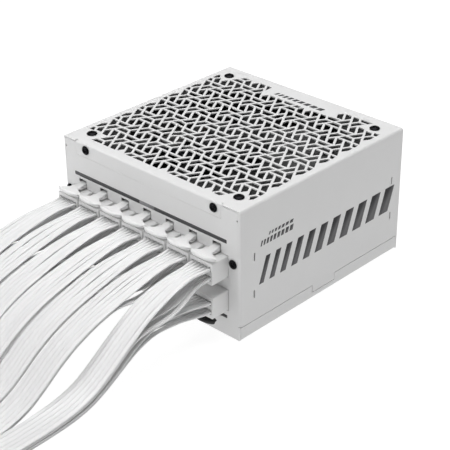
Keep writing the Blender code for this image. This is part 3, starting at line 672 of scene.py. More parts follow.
@dataclass
class Studio:
    """The camera, a plain white floor and soft white light.

    The camera's angles are in degrees, its lens in millimetres, for a sensor of 36.

    Fields:
        backdrop: The radius and height of the wall round the floor.
        sky: The strength of the even light from everywhere.
        panels: Each lamp's name, place, width and power in watts.
    """

    azimuth: float = 43.5633
    elevation: float = 29.0954
    roll: float = -0.4398
    distance: float = 0.86939
    target: Triple = (-0.0042321, -0.005025, 0.0193478)
    lens: float = 107.53
    floor_half: float = 20.0
    backdrop: Pair = (19.0, 1.8)
    sky: float = 0.045
    panels: tuple[tuple[str, Triple, float, float], ...] = (
        ("top_panel", (-0.1, 0.1, 1.5), 1.4, 25.8),
        ("front_panel", (-0.6, -1.5, 0.9), 0.9, 10.5),
    )

    def build(self) -> None:
        """Makes everything in the studio."""
        self.camera()
        self.floor()
        self.lights()

    def axes(self) -> tuple[Vector, Vector, Vector]:
        """The camera's right, up and backward directions."""
        a, e = math.radians(self.azimuth), math.radians(self.elevation)
        roll = math.radians(self.roll)
        back = Vector((math.sin(a) * math.cos(e), -math.cos(a) * math.cos(e), math.sin(e)))
        right = Vector((math.cos(a), math.sin(a), 0))
        up = back.cross(right)
        rolled = right * math.cos(roll) + up * math.sin(roll)
        return rolled, back.cross(rolled), back

    def camera(self) -> None:
        """Sets the camera at its distance from the target, looking at it."""
        data = bpy.data.cameras.new("camera")
        data.lens = self.lens
        data.sensor_width = 36.0
        data.clip_start, data.clip_end = 0.05, 60.0
        right, up, back = self.axes()
        made = bpy.data.objects.new("camera", data)
        turn = Matrix((right, up, back)).transposed().to_4x4()
        made.matrix_world = Matrix.Translation(Vector(self.target) + back * self.distance) @ turn
        bpy.context.scene.collection.objects.link(made)
        bpy.context.scene.camera = made

    def floor(self) -> None:
        """Lays a floor of lit opal glass, as on a product table, and a low round wall."""
        material = bpy.data.materials.new("lit_opal_glass")
        material.use_nodes = True
        tree = material.node_tree
        tree.nodes.clear()
        place = {"Vector": add_node(tree, "ShaderNodeTexCoord").outputs["Object"]}
        noise = add_node(tree, "ShaderNodeTexNoise", {"Scale": 800.0}, place).outputs["Fac"]
        bump = add_node(tree, "ShaderNodeBump", {"Distance": 0.01 * MM}, {"Height": noise})
        settings = {"Base Color": linear("#808080"), "Roughness": 0.9, "Specular IOR Level": 0.0}
        settings |= {"Emission Color": linear("#FFFFFF"), "Emission Strength": 0.90}
        links = {"Normal": bump.outputs["Normal"]}
        shader = add_node(tree, "ShaderNodeBsdfPrincipled", settings, links)
        add_node(tree, "ShaderNodeOutputMaterial", {}, {"Surface": shader.outputs[0]})
        h, (radius, height) = self.floor_half, self.backdrop
        floor = Shell().add(carried(rectangle(-h, h, -h, h), 2, [0]), [range(4)])
        wall = Shell().grid(carried(radius * around(96), 2, [0, height]), ring=True)
        for name, shell in (("floor", floor), ("backdrop", wall)):
            mesh = bpy.data.meshes.new(name)
            mesh.from_pydata(np.vstack(shell.points).tolist(), [], shell.faces)
            mesh.materials.append(material)
            made = bpy.data.objects.new(name, mesh)
            bpy.context.scene.collection.objects.link(made)

    def lights(self) -> None:
        """Hangs soft panels above and beside the object, under an even white sky."""
        world = bpy.data.worlds.new("sky")
        world.use_nodes = True
        background = world.node_tree.nodes["Background"]
        background.inputs["Color"].default_value = (1, 1, 1, 1)
        background.inputs["Strength"].default_value = self.sky
        bpy.context.scene.world = world
        bpy.context.scene.view_settings.view_transform = "Standard"
        for name, spot, size, power in self.panels:
            data = bpy.data.lights.new(name, "AREA")
            data.size, data.energy = size, power
            lamp = bpy.data.objects.new(name, data)
            lamp.location = spot
            lamp.rotation_mode = "QUATERNION"
            lamp.rotation_quaternion = (-Vector(spot)).to_track_quat("-Z", "Y")
            bpy.context.scene.collection.objects.link(lamp)


# Socket places, shared by plugs, cables and panel


@dataclass(frozen=True)
class SocketPlan:
    """Where the sockets are, read from the frame's plugs."""

    lower_places: tuple[int, ...] = (1, 3, 6)
    count: int = 7
    plug_width: float = 0.0175
    plug_height: float = 0.0142
    slack: float = 0.0003

    def centre(self, name: str) -> Triple:
        """The middle of a plug's outer face, from its node's box and latch."""
        low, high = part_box(f"plug_{name}")
        z = low.z + self.plug_height / 2
        if name.startswith("lower"):
            z = high.z - self.plug_height / 2
        return (low.x + high.x) / 2, low.y, z

    def names(self) -> list[str]:
        """Every plug's name, the upper row first."""
        upper = [f"upper_{i + 1}" for i in range(self.count)]
        return upper + [f"lower_{i + 1}" for i in self.lower_places]


def wire_cells(x: float, z: float, row_rise: float, height: float) -> list[list[Pair]]:
    """The outlines of twelve cells, six in a row, with a row above and a row below the middle.

    Args:
        x: The middle, across.
        z: The middle, up.
        row_rise: How far a row's middle is from the middle.
        height: A cell's height.

    Returns:
        Each cell's outline.
    """
    pitch, half, corner = 0.0026, 0.00108, 0.0003
    return [
        middled(x + pitch * (column - 2.5), z + rise, half, height / 2, corner)
        for column in range(6)
        for rise in (-row_rise, row_rise)
    ]


# Cables


@dataclass
class FlatCable:
    """Two flat ribbons of wires, one on the other, from a plug's two rows to a connector.

    Lengths are in metres, and a route is a list of (y, z) points.

    Fields:
        single: Whether no other cable lies in its lane, so that it lies on the floor.
        looseness: How much the wires differ before they join their ribbon, from 0 to 1.
        drift: How far the lower row's wires swing sideways before they join.
        sag: How far the lower row's wires hang before they join.
        exit_half: Half a wire's width and height at the plug.
        ribbon_half: Half a ribbon's thickness.
        squareness: The power of cosine and sine in a wire's section: 1 for an ellipse.
        cell: The wires' pitch in the plug.
        bunched: Their pitch a little way out of it.
        flat: Their pitch in the ribbon.
        overlap: Half a wire's width in the ribbon, as a share of that pitch.
        row_rise: How far a row of wires is from the middle, in the plug.
        far_row_rise: The same in the connector.
        merge: Where the two ribbons lie on each other, along the cable.
        start_inside: How far a wire reaches into its cells.
        floor_run: The middle's height where the cable lies on the floor.
        fold_y: Where it folds in the hank, far from and near the unit.
        rise_y: Where it starts to rise or fall to its connector.
        connector_z: The height of a connector in a lower and in an upper layer.
    """

    name: str
    plan: SocketPlan
    single: bool
    seed: int
    looseness: float = 0.10
    drift: float = 0.0028
    sag: float = 0.0041
    wires: int = 12
    exit_half: Pair = (0.00105, 0.00090)
    ribbon_half: float = 0.00058
    squareness: float = 0.8
    cell: float = 0.0026
    bunched: float = 0.0021
    flat: float = 0.0029
    overlap: float = 0.53
    row_rise: float = 0.0030
    far_row_rise: float = 0.0021
    merge: float = 0.062
    length: float = 0.615
    step: float = 0.004
    sides: int = 12
    start_inside: float = 0.004
    floor_run: float = 0.0026
    upper_route: tuple[Pair, ...] = (
        (-0.0893, 0.0472), (-0.1060, 0.0471), (-0.1240, 0.0460), (-0.1420, 0.0436),
        (-0.1590, 0.0394), (-0.1740, 0.0336), (-0.1870, 0.0264), (-0.1980, 0.0188),
        (-0.2090, 0.0122), (-0.2220, 0.0078), (-0.2390, 0.0057), (-0.2600, 0.0052),
        (-0.2850, 0.0052),
    )
    right_route: tuple[Pair, ...] = (
        (-0.0893, 0.0472), (-0.1050, 0.0466), (-0.1220, 0.0438), (-0.1370, 0.0390),
        (-0.1500, 0.0318), (-0.1620, 0.0235), (-0.1730, 0.0160), (-0.1840, 0.0106),
        (-0.1980, 0.0073), (-0.2160, 0.0057), (-0.2400, 0.0052), (-0.2640, 0.0052),
        (-0.2850, 0.0052),
    )
    lower_route: tuple[Pair, ...] = (
        (-0.0893, 0.0245), (-0.1000, 0.0258), (-0.1120, 0.0282), (-0.1250, 0.0297),
        (-0.1370, 0.0290), (-0.1490, 0.0250), (-0.1600, 0.0188), (-0.1710, 0.0124),
        (-0.1820, 0.0074), (-0.1950, 0.0043), (-0.2120, 0.0030), (-0.2350, 0.0026),
        (-0.2600, 0.0026), (-0.2850, 0.0026),
    )
    fold_y: Pair = (-0.4180, -0.2940)
    end_y: float = -0.4030
    rise_y: float = -0.3830
    connector_z: Pair = (0.0202, 0.0296)

    def __post_init__(self) -> None:
        """Sets what differs between the rows."""
        self.upper = self.name.startswith("upper")
        self.doubled = self.upper and not self.single
        self.end_z = self.connector_z[1 if self.doubled else 0]
        if not self.upper:
            self.looseness, self.drift, self.sag = 0.30, -0.0020, 0.0036

    def route(self) -> Array:
        """The (y, z) points from the plug to the hank.

        Where the cable lies on the floor, its fall is stretched: a point's depth under the
        first point is multiplied, so that the last point comes down to the floor run.
        """
        if not self.upper:
            return np.array(self.lower_route)
        last = self.name == f"upper_{self.plan.count}"
        route = np.array(self.right_route if last else self.upper_route)
        if self.single:
            top, end = route[0, 1], route[-1, 1]
            route[:, 1] = top - (top - route[:, 1]) * (top - self.floor_run) / (top - end)
        return route

    def layers(self) -> Triple:
        """The heights of its three runs in the hank."""
        if not self.upper:
            return 0.0026, 0.0140, 0.0206
        return (0.0052, 0.0114, 0.0232) if self.doubled else (0.0026, 0.0116, 0.0206)

    def line(self) -> Array:
        """The middle line: the route, then runs joined by half circles, one over another."""
        first, second, third = self.layers()
        far, near = self.fold_y
        t = np.linspace(0, 1, 9)
        y = self.rise_y + (self.end_y - self.rise_y) * t
        parts = [
            spline(self.route(), 8),
            self.half_circle(far, first, second, -1),
            self.half_circle(near, second, third, 1),
            np.stack([y, third + (self.end_z - third) * smoothstep(t)], 1),
        ]
        flat = evenly(np.vstack(parts), self.step)
        return carried(flat, 0, [self.plan.centre(self.name)[0]])[0]

    @staticmethod
    def half_circle(y: float, from_z: float, to_z: float, side: int) -> Array:
        """Half a circle in YZ, from one height up to another, bulging to one side of y."""
        radius = (to_z - from_z) / 2
        angle = np.linspace(-QUARTER_TURN, QUARTER_TURN, 11)
        bulge = y + side * radius * np.cos(angle)
        return np.stack([bulge, from_z + radius + radius * np.sin(angle)], 1)

    def strands(self, line: Array) -> tuple[Array, Array]:
        """Where each wire lies along the cable, and how far it has come to be flat.

        Across, a wire lies at its column times the pitch, which goes along smooth steps from
        the plug's to a tighter one, then to the ribbon's, and back to the plug's at the far
        end. Above the middle line, it goes from its row's height to its ribbon's, and the
        lower row sags on the way as a power of half a sine.

        Args:
            line: The cable's middle line.

        Returns:
            An array of points along the cable, wires and three coordinates, and an array
            from 0 at the plug to 1 in the ribbon.
        """
        random = np.random.default_rng(self.seed)
        along = way_along(line)
        near_end = smoothstep((along[-1] - along) / 0.014)
        number, in_row = np.arange(self.wires), self.wires // 2
        row = np.where(number < in_row, 1.0, -1.0)
        column = number % in_row - (in_row - 1) / 2
        free = self.looseness * random.uniform(-1, 1, self.wires)
        reach = self.merge * (1 + free)
        out = smoothstep(along[:, None] / reach)
        pitch = self.cell + (self.bunched - self.cell) * smoothstep(along / 0.012)
        pitch += (self.flat - self.bunched) * smoothstep((along - 0.008) / 0.036)
        pitch = self.cell + (pitch - self.cell) * near_end
        part_way = np.sin(math.pi * np.clip(along[:, None] / reach, 0, 1))
        wander = np.sin(along[:, None] * random.uniform(35, 75, self.wires) + number * 1.7)
        across = column * pitch[:, None] + np.where(row < 0, self.drift, 0.0) * part_way**2
        across = across + wander * self.looseness * 0.0022 * part_way
        dip = np.where(row < 0, self.sag, -0.0008) * (1 + 2.5 * free)
        rise = self.row_rise * (1 - out) + self.ribbon_half * out
        rise = self.far_row_rise + (rise - self.far_row_rise) * near_end[:, None]
        lift = row * rise - dip * part_way**1.4
        tangent = unit(np.gradient(line, axis=0))
        side = np.array([1.0, 0.0, 0.0])
        normal = -np.cross(side, tangent)
        points = line[:, None] + across[..., None] * side + lift[..., None] * normal[:, None]
        return points, smoothstep(along / 0.030)

    def build(self) -> tuple[bpy.types.Object, Array]:
        """Sweeps a flattened ring along each wire.

        The ring is a superellipse, whose half width grows from the round wire's to a little
        over half the ribbon's pitch, so that neighbours fuse with a shallow groove between.

        Returns:
            The cable, and its middle line.
        """
        line = self.line()
        strands, flatness = self.strands(line)
        reach_in = np.array([0, self.start_inside, 0])
        strands = np.concatenate([strands[:1] + reach_in, strands, strands[-1:] - reach_in])
        flatness = np.concatenate([flatness[:1], flatness, flatness[-1:]])[:, None, None, None]
        tangent = unit(np.gradient(strands, axis=0))
        up = unit(np.cross(tangent, np.array([1.0, 0.0, 0.0])))
        across = np.cross(up, tangent)
        half_width, half_height = self.exit_half
        half_width = half_width + (self.overlap * self.flat - half_width) * flatness
        half_height = half_height + (self.ribbon_half - half_height) * flatness
        angle = FULL_TURN * (np.arange(self.sides) + 0.5) / self.sides
        c, s = np.cos(angle)[:, None], np.sin(angle)[:, None]
        ring = half_width * np.sign(c) * abs(c) ** self.squareness * across[:, :, None]
        ring = ring + half_height * np.sign(s) * abs(s) ** self.squareness * up[:, :, None]
        rings = strands[:, :, None] + ring
        random = np.random.default_rng(self.seed + 100)
        shell, tones = Shell(), []
        for wire in range(self.wires):
            shell.grid(rings[:, wire], ring=True, caps=True)
            tones.append(np.full(len(rings) * self.sides, random.uniform(0, 0.35)))
        cable = make_piece(
            f"cable_wires_{self.name}", shell, WIRE_SLEEVE, smooth_degrees=60,
            stands_for=[f"cable_{self.name}", "cable_hank"],
            attributes={"tone": np.concatenate(tones)},
        )
        LOG.info("%s: %.3f m", cable.name, way_along(line)[-1])
        return cable, line


@dataclass
class Cables:
    """All the cables, their far connectors, and the strap round the hank.

    Fields:
        diameter: A cable's width; not used.
        heights: A connector's height in a lower and in an upper layer.
        connector_y: A connector's far and near end.
    """

    plan: SocketPlan
    diameter: float = 0.018
    heights: Pair = (0.0096, 0.0092)
    connector_half: float = 0.0086
    connector_y: Pair = (-0.4283, -0.4030)
    strap_y: Pair = (-0.362, -0.342)
    strap_sheet: float = 0.0010

    def build(self) -> None:
        """Makes each cable and its far connector, then straps them."""
        for seed, name in enumerate(self.plan.names()):
            place_number = int(name.split("_")[1]) - 1
            single = name.startswith("upper") and place_number not in self.plan.lower_places
            cable = FlatCable(name, self.plan, single, seed)
            piece, line = cable.build()
            self.connector(cable, float(line[0, 0]))
        self.strap()

    def connector(self, cable: FlatCable, x: float) -> bpy.types.Object:
        """The block on a cable's far end, extruded along Y with a cell for each wire.

        Args:
            cable: The cable.
            x: Its lane.

        Returns:
            The connector.
        """
        far, near = self.connector_y
        name, z = f"connector_{cable.name}", cable.end_z
        height = self.heights[1 if cable.doubled else 0]
        outline = middled(x, z, self.connector_half, height / 2, 0.0006)
        loops = [outline, *wire_cells(x, z, cable.far_row_rise, 0.0030)]
        return slab(name, loops, near, near - far, MOULDED_NYLON, "far_connectors", 0.0003)

    def strap(self) -> None:
        """A band round the hank: a rounded rectangle in XZ carried along Y."""
        low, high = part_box("cable_tie")
        inset = self.strap_sheet / 2
        loop = rounded(low.x + inset, high.x - inset, low.z + inset, high.z - inset, 0.003)
        around_hank = evenly(np.array(loop + loop[:1]), 0.003)
        shell = Shell().grid(carried(around_hank, 1, np.linspace(*self.strap_y, 5)))
        make_piece(
            "strap_band", shell, WOVEN_STRAP, stands_for=["cable_tie"],
            wall=(self.strap_sheet, CENTRED),
        )


# Housing


@dataclass
class GuardPattern:
    """The pierced pattern of the fan guard.

    Three families of bars cross at sixty degrees. Each cell has two large triangles, each cut
    into thirds, and a hexagon cut in two.

    Fields:
        pitch: Half the distance between two parallel bars' middles.
        notch_x: Where its rear edge is notched.
        notch_y: How far the notch is from the middle.
        screw_offset: A screw's distance from the middle, along X and Y.
        margin: How far an opening's middle may be outside the guard.
    """

    middle_y: float
    pitch: float = 0.0053125
    bar: float = 0.0015
    half_x: float = 0.06975
    half_y: float = 0.06775
    notch_x: Pair = (-0.028, 0.030)
    notch_y: float = 0.057
    pad_radius: float = 0.0062
    screw_offset: float = 0.06225
    margin: float = 0.0012

    def quads(self) -> Array:
        """The eight openings of one cell, as the numbers of grid lines along two bar families."""
        thirds = [
            [(2, 0), (1, 1), (3, 1), (3, 0)],
            [(2, -1), (0, 1), (1, 1), (2, 0)],
            [(2, -1), (3, -2), (3, 0), (2, 0)],
        ]
        half = [[(-1, 0), (0, -1), (0, 1), (-1, 1)]]
        one_side = np.array(thirds + half, float)
        return np.concatenate([one_side, -one_side])

    def openings(self) -> list[list[Pair]]:
        """Every opening of the guard.

        A grid point (q, r) lies at x = (q - r) pitch / root 3 and y = (q + r) pitch. The cell
        repeats along (2, 2) and (4, -2). Each corner moves inwards by half a bar along both
        of its sides: by the sum of the sides' inward normals over one plus their cosine.

        Returns:
            The corners of each opening.
        """
        i, j = np.meshgrid(np.arange(-9, 10), np.arange(-6, 7), indexing="ij")
        shift = np.stack([2 * i + 4 * j, 2 * i - 2 * j], -1).reshape(-1, 1, 1, 2)
        q, r = np.moveaxis((self.quads()[None] + shift).reshape(-1, 4, 2), -1, 0)
        corners = np.stack([(q - r) * self.pitch / math.sqrt(3), (q + r) * self.pitch], -1)
        following = np.roll(corners, -1, 1)
        cross = corners[..., 0] * following[..., 1] - corners[..., 1] * following[..., 0]
        corners = np.where((cross.sum(1) < 0)[:, None, None], corners[:, ::-1], corners)
        after = unit(np.roll(corners, -1, 1) - corners)
        before = np.roll(after, 1, 1)
        inward = np.stack([-before[..., 1] - after[..., 1], before[..., 0] + after[..., 0]], -1)
        opened = 1 + (before * after).sum(-1)[..., None]
        corners = corners + inward * (self.bar / 2) / opened
        middle = corners.mean(1)
        x, y = np.abs(middle[:, 0]), np.abs(middle[:, 1])
        kept = (x < self.half_x + self.margin) & (y < self.half_y + self.margin)
        in_notch = (middle[:, 0] > self.notch_x[0]) & (middle[:, 0] < self.notch_x[1])
        kept &= ~(in_notch & (middle[:, 1] > self.notch_y + self.margin))
        kept &= np.hypot(x - self.screw_offset, y - self.screw_offset) > self.pad_radius
        chosen = corners[kept] + np.array([0, self.middle_y])
        return [[tuple(p) for p in loop] for loop in chosen.tolist()]

    def window(self) -> list[Pair]:
        """Where openings are cut: the guard's rectangle less its notch."""
        x, y, (left, right) = self.half_x, self.half_y, self.notch_x
        corners = [(-x, -y), (x, -y), (x, y), (right, y), (right, self.notch_y)]
        corners += [(left, self.notch_y), (left, y), (-x, y)]
        return [(a, b + self.middle_y) for a, b in corners]

    def pads(self) -> list[list[Pair]]:
        """The plain rounds under the fan's four screws."""
        places = (-self.screw_offset, self.screw_offset)
        return [
            circle(x, y + self.middle_y, self.pad_radius, 24) for x in places for y in places
        ]


@dataclass
class Housing:
    """The cover, the tray and what is printed on them.

    Fields:
        gap: The play between cover and tray.
        seam: The play round the socket panel.
        bend: The outer radius of the long folds.
        front_bend: That of the top's fold at the front.
        wrap: That of the sides' folds at the front.
        seam_z: The height of the cover's lower edge.
        tab_z: The height of its tabs' lower edge.
        lip_top: The height of the wraps' upper edge.
        notch_z: The height of the notches in the panel's sides, low and high.
        flange_x: The front flange's two ends.
        lances: Half the width and height of a lanced slot in a side.
        disc_edge: Half the width of the pressed disc's sloping edge.
        latch_rise: How far a latch's window goes past its plug's.
        latch_half: Half that window's width.
        film: An ink's height over its face.
    """

    plan: SocketPlan
    sheet: float = 0.0008
    gap: float = 0.0003
    seam: float = 0.0001
    bend: float = 0.0018
    front_bend: float = 0.0013
    wrap: float = 0.0018
    bend_steps: int = 6
    relief: float = 0.0006
    seam_z: float = 0.0095
    tab_z: float = 0.0045
    tab_y: Pair = (-0.011, 0.010)
    lip_top: float = 0.0848
    notch_z: Pair = (0.0790, 0.0800)
    notch_depth: float = 0.0010
    flange_x: Pair = (-0.063, 0.060)
    flange_z: float = 0.0768
    lances: Pair = (0.0006, 0.0027)
    lance_y: Pair = (-0.064, 0.065)
    lance_z: Pair = (0.0275, 0.0525)
    disc_radius: float = 0.036
    disc_depth: float = 0.00045
    disc_edge: float = 0.0006
    latch_rise: float = 0.0057
    latch_half: float = 0.0033
    film: float = 0.00004

    def __post_init__(self) -> None:
        """Reads the housing's outer sizes from the frame."""
        low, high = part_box("base_tray")
        self.half = high.x
        self.front, self.rear = low.y, high.y
        self.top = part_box("top_cover")[1].z
        self.middle_y = (self.front + self.rear) / 2
        self.turn = np.linspace(0, QUARTER_TURN, self.bend_steps + 1)

    def build(self) -> None:
        """Makes the sheet metal and the prints."""
        self.cover()
        self.tray_front()
        self.tray_rear()
        self.tray_base()
        self.prints()

    def fold_path(self, foot: float, face: float, up: int) -> Array:
        """A folded sheet from the front: a side, a quarter circle, straight across, and back.

        Args:
            foot: The height of both its ends.
            face: The height of its face.
            up: 1 if the face is on top, -1 if it is underneath.

        Returns:
            The path's (x, z) points.
        """
        r = self.bend
        x = self.half - r + r * np.cos(self.turn)
        right = np.stack([x, face + up * (r * np.sin(self.turn) - r)], 1)
        left = right[::-1] * np.array([-1, 1])
        return np.vstack([[(self.half, foot)], right, left, [(-self.half, foot)]])

    def cover_outline(self, whole: float) -> list[Pair]:
        """The cover's flat sheet, as the way along its path and Y.

        Args:
            whole: The path's length.

        Returns:
            The sheet's corners.
        """
        front, rear, cut = self.front, self.rear, self.relief
        foot, rise = self.seam_z - self.tab_z, self.lip_top - self.tab_z
        wrap, bent = front + self.wrap, front + self.front_bend
        right, left = whole / 2 - self.flange_x[1], whole / 2 - self.flange_x[0]
        t0, t1 = self.tab_y
        return [
            (0, t0), (0, t1), (foot, t1), (foot, rear), (whole - foot, rear), (whole - foot, t1),
            (whole, t1), (whole, t0), (whole - foot, t0), (whole - foot, wrap),
            (whole - rise, wrap), (whole - rise, front + cut), (whole - rise - cut, front),
            (left + cut, front), (left + cut, bent + cut), (left, bent + cut), (left, bent),
            (right, bent), (right, bent + cut), (right - cut, bent + cut), (right - cut, front),
            (rise + cut, front), (rise, front + cut), (rise, wrap), (foot, wrap), (foot, t0),
        ]

    def cover(self) -> None:
        """Folds the cover from one flat sheet, and adds its front folds.

        A point of the flat sheet is the way along the cover's path, and Y. The fold puts it at
        the path's X and Z at that length. The middle disc is pressed in by a smooth step of
        its distance from the axle.
        """
        path = self.fold_path(self.tab_z, self.top, 1)
        along = way_along(path)
        whole, middle = along[-1], along[-1] / 2
        half_w, half_h = self.lances
        slots = [
            middled(way, y, half_h, half_w, 0.0005)
            for y in self.lance_y
            for z in self.lance_z
            for way in (z - self.tab_z, whole - (z - self.tab_z))
        ]
        guard = GuardPattern(self.middle_y)
        drawn = [*guard.openings(), guard.window(), *guard.pads()]
        laid = [[(middle - x, y) for x, y in loop] for loop in drawn]
        pads, window, openings = laid[-4:], laid[-5], laid[:-5]
        creases = [((s, self.front - 0.01), (s, self.rear + 0.01)) for s in along[1:-1]]
        for edge in (-self.disc_edge, self.disc_edge):
            ring = circle(middle, self.middle_y, self.disc_radius + edge, 96)
            creases += list(zip(ring, ring[1:] + ring[:1]))
        outline = self.cover_outline(whole)
        flat, faces = flat_sheet(outline, openings, creases, window, pads, slots)
        x, z = (np.interp(flat[:, 0], along, path[:, k]) for k in (0, 1))
        from_axle = np.hypot(flat[:, 0] - middle, flat[:, 1] - self.middle_y)
        reach = self.disc_edge + 0.0001
        pressed = smoothstep((self.disc_radius + reach - from_axle) / (2 * reach))
        shell = Shell().add(np.stack([x, flat[:, 1], z - self.disc_depth * pressed], 1), faces)
        r = self.wrap
        across = self.half - r + r * np.cos(self.turn)
        y = self.front + r - r * np.sin(self.turn)
        for side in (-1, 1):
            section = np.stack([side * across, y], 1)
            shell.grid(carried(section, 2, [self.seam_z, self.lip_top]))
        r = self.front_bend
        y = np.append(self.front + r - r * np.sin(self.turn), self.front)
        z = np.append(self.top - r + r * np.cos(self.turn), self.flange_z)
        shell.grid(carried(np.stack([y, z], 1), 0, self.flange_x))
        make_piece(
            "cover_sheet", shell, POWDER_COAT, outward=(0, 0, 1), stands_for=["top_cover"],
            wall=(self.sheet, BEHIND), edge=(0.00014, 1),
        )

    def socket_window(self, name: str) -> list[Pair]:
        """A plug's window with the slot for its latch."""
        x, _, z = self.plan.centre(name)
        up = 1 if name.startswith("upper") else -1
        w = self.plan.plug_width / 2 + self.plan.slack
        h = self.plan.plug_height / 2 + self.plan.slack
        s, edge, far = self.latch_half, z + up * h, z + up * (h + self.latch_rise)
        return [
            (x - w, z - up * h), (x + w, z - up * h), (x + w, edge), (x + s, edge),
            (x + s, far), (x - s, far), (x - s, edge), (x - w, edge),
        ]

    def tray_front(self) -> None:
        """The socket panel, with its windows, flush with the cover's flange and wraps."""
        side = self.half - self.wrap - self.seam
        low, high = self.flange_x[0] - self.seam, self.flange_x[1] + self.seam
        top, under = self.top - self.sheet - self.gap, self.flange_z - self.seam
        step, corner = self.seam_z - self.gap, 0.0009
        notch = [(side - self.notch_depth, z) for z in self.notch_z]
        notch = [(side, self.notch_z[0]), *notch, (side, self.notch_z[1])]
        outline = [
            (-self.half + corner, 0.0), (self.half - corner, 0.0), (self.half, corner),
            (self.half, step), (side, step), *notch, (side, top), (high, top), (high, under),
            (low, under), (low, top), (-side, top), *[(-x, z) for x, z in notch[::-1]],
            (-side, step), (-self.half, step), (-self.half, corner),
        ]
        windows = [self.socket_window(name) for name in self.plan.names()]
        slab(
            "socket_panel", [outline, *windows], self.front, self.sheet, POWDER_COAT,
            "base_tray", 0.00015, -1,
        )

    def tray_rear(self) -> None:
        """The rear panel: a honeycomb of vents, windows for inlet and switch, and case holes."""
        inner = self.half - self.sheet - self.gap
        top, step = self.top - self.sheet - self.gap, self.seam_z - self.gap
        cut, inset, pitch = 0.003, 0.0016, 0.0125
        outline = [
            (-self.half, 0.0), (self.half, 0.0), (self.half, step), (inner, step),
            (inner, top - cut), (inner - cut, top), (cut - inner, top), (-inner, top - cut),
            (-inner, step), (-self.half, step),
        ]
        holes = []
        for low, high in (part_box("ac_inlet"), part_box("rocker_bezel")):
            holes.append(rectangle(low.x + inset, high.x - inset, low.z + inset, high.z - inset))
        case_holes = ((-0.069, 0.006), (0.069, 0.006), (-0.069, 0.070), (0.045, 0.080))
        holes += [circle(x, z, 0.0018, 20) for x, z in case_holes]
        for row in range(6):
            for column in range(7):
                x = -0.0215 + pitch * (column + 0.5 * (row % 2))
                z = 0.0165 + pitch * math.sqrt(3) / 2 * row
                holes.append(circle(x, z, 0.0060, 6, math.pi / 6))
        slab(
            "rear_panel", [outline, *holes], self.rear, self.sheet, POWDER_COAT,
            "base_tray", 0.00015,
        )

    def tray_base(self) -> None:
        """The base and low side flanges, folded from one sheet with a notch for each tab."""
        top = self.seam_z - self.gap
        path = self.fold_path(top, 0.0, -1)
        along = way_along(path)
        whole, notch = along[-1], top - (self.tab_z - self.gap)
        y0, y1 = self.front + self.sheet / 2, self.rear - self.sheet / 2
        t0, t1 = self.tab_y[0] - self.gap, self.tab_y[1] + self.gap
        outline = [
            (0, y0), (whole, y0), (whole, t0), (whole - notch, t0), (whole - notch, t1),
            (whole, t1), (whole, y1), (0, y1), (0, t1), (notch, t1), (notch, t0), (0, t0),
        ]
        creases = [((s, y0 - 0.01), (s, y1 + 0.01)) for s in along[1:-1]]
        points, faces = flat_sheet(outline, (), creases)
        x, z = (np.interp(points[:, 0], along, path[:, k]) for k in (0, 1))
        shell = Shell().add(np.stack([x, points[:, 1], z], 1), faces)
        make_piece(
            "tray_base", shell, POWDER_COAT, outward=(0, 0, -1), stands_for=["base_tray"],
            wall=(self.sheet, BEHIND), edge=(0.00014, 1),
        )

    def printed(
        self, name: str, loops: Iterable[Loop], axis: int, face: float, finish: Finish
    ) -> None:
        """Lays thin ink shapes on a face.

        Args:
            name: The piece's name.
            loops: Each shape's corners.
            axis: The axis that the face looks along.
            face: Where the face is on it; it looks away from the middle.
            finish: The ink.
        """
        outward = [0.0, 0.0, 0.0]
        outward[axis] = math.copysign(1, face)
        lifted = face + outward[axis] * self.film
        shell = Shell()
        for loop in loops:
            shell.add(carried(loop, axis, [lifted]), [range(len(loop))])
        make_piece(
            name, shell, finish, outward=tuple(outward), wall=(self.film * 0.75, BEHIND)
        )

    def prints(self) -> None:
        """Stripes on the socket panel, and plain slanted bars on the side and the top."""
        low, high = 0.0620, 0.0645
        stripes = [
            rounded(-0.0655, -0.0072, low, high, 0.0006),
            rounded(0.0052, 0.0645, low, high, 0.0006),
            rounded(-0.0655, 0.0645, 0.0118, 0.0140, 0.0006),
        ]
        self.printed("panel_stripes", stripes, 1, self.front, INK)
        middle = rectangle(-0.0072, 0.0052, low, high)
        self.printed("panel_stripe_middle", [middle], 1, self.front, PALE_INK)
        side = [
            *self.bars((-0.060, 0.062), 0.0050, 11, (0.0320, 0.0490), 0.0060),
            *self.bars((-0.059, -0.031), 0.0012, 9, (0.0570, 0.0605), 0.0010),
            *self.bars((-0.052, -0.031), 0.0012, 7, (0.0620, 0.0640), 0.0008),
        ]
        self.printed("side_bars", side, 0, self.half, INK)
        top = self.bars((-0.020, 0.020), 0.0016, 9, (0.0592, 0.0628), 0.0012)
        self.printed("top_bars", top, 2, self.top, INK)

    @staticmethod
    def bars(ends: Pair, gap: float, count: int, levels: Pair, lean: float) -> list[list[Pair]]:
        """A row of slanted bars that grow evenly in width.

        Args:
            ends: Where the row starts and ends.
            gap: The space between two bars.
            count: How many there are.
            levels: The bars' lower and upper edge.
            lean: How far a bar's upper edge is shifted.

        Returns:
            Each bar's corners.
        """
        share = np.linspace(0.6, 1.4, count)
        widths = share / share.sum() * (ends[1] - ends[0] - gap * (count - 1))
        starts = ends[0] + np.concatenate([[0], np.cumsum(widths + gap)])[:-1]
        low, high = levels
        return [
            [(a, low), (a + width, low), (a + width + lean, high), (a + lean, high)]
            for a, width in zip(starts.tolist(), widths.tolist())
        ]


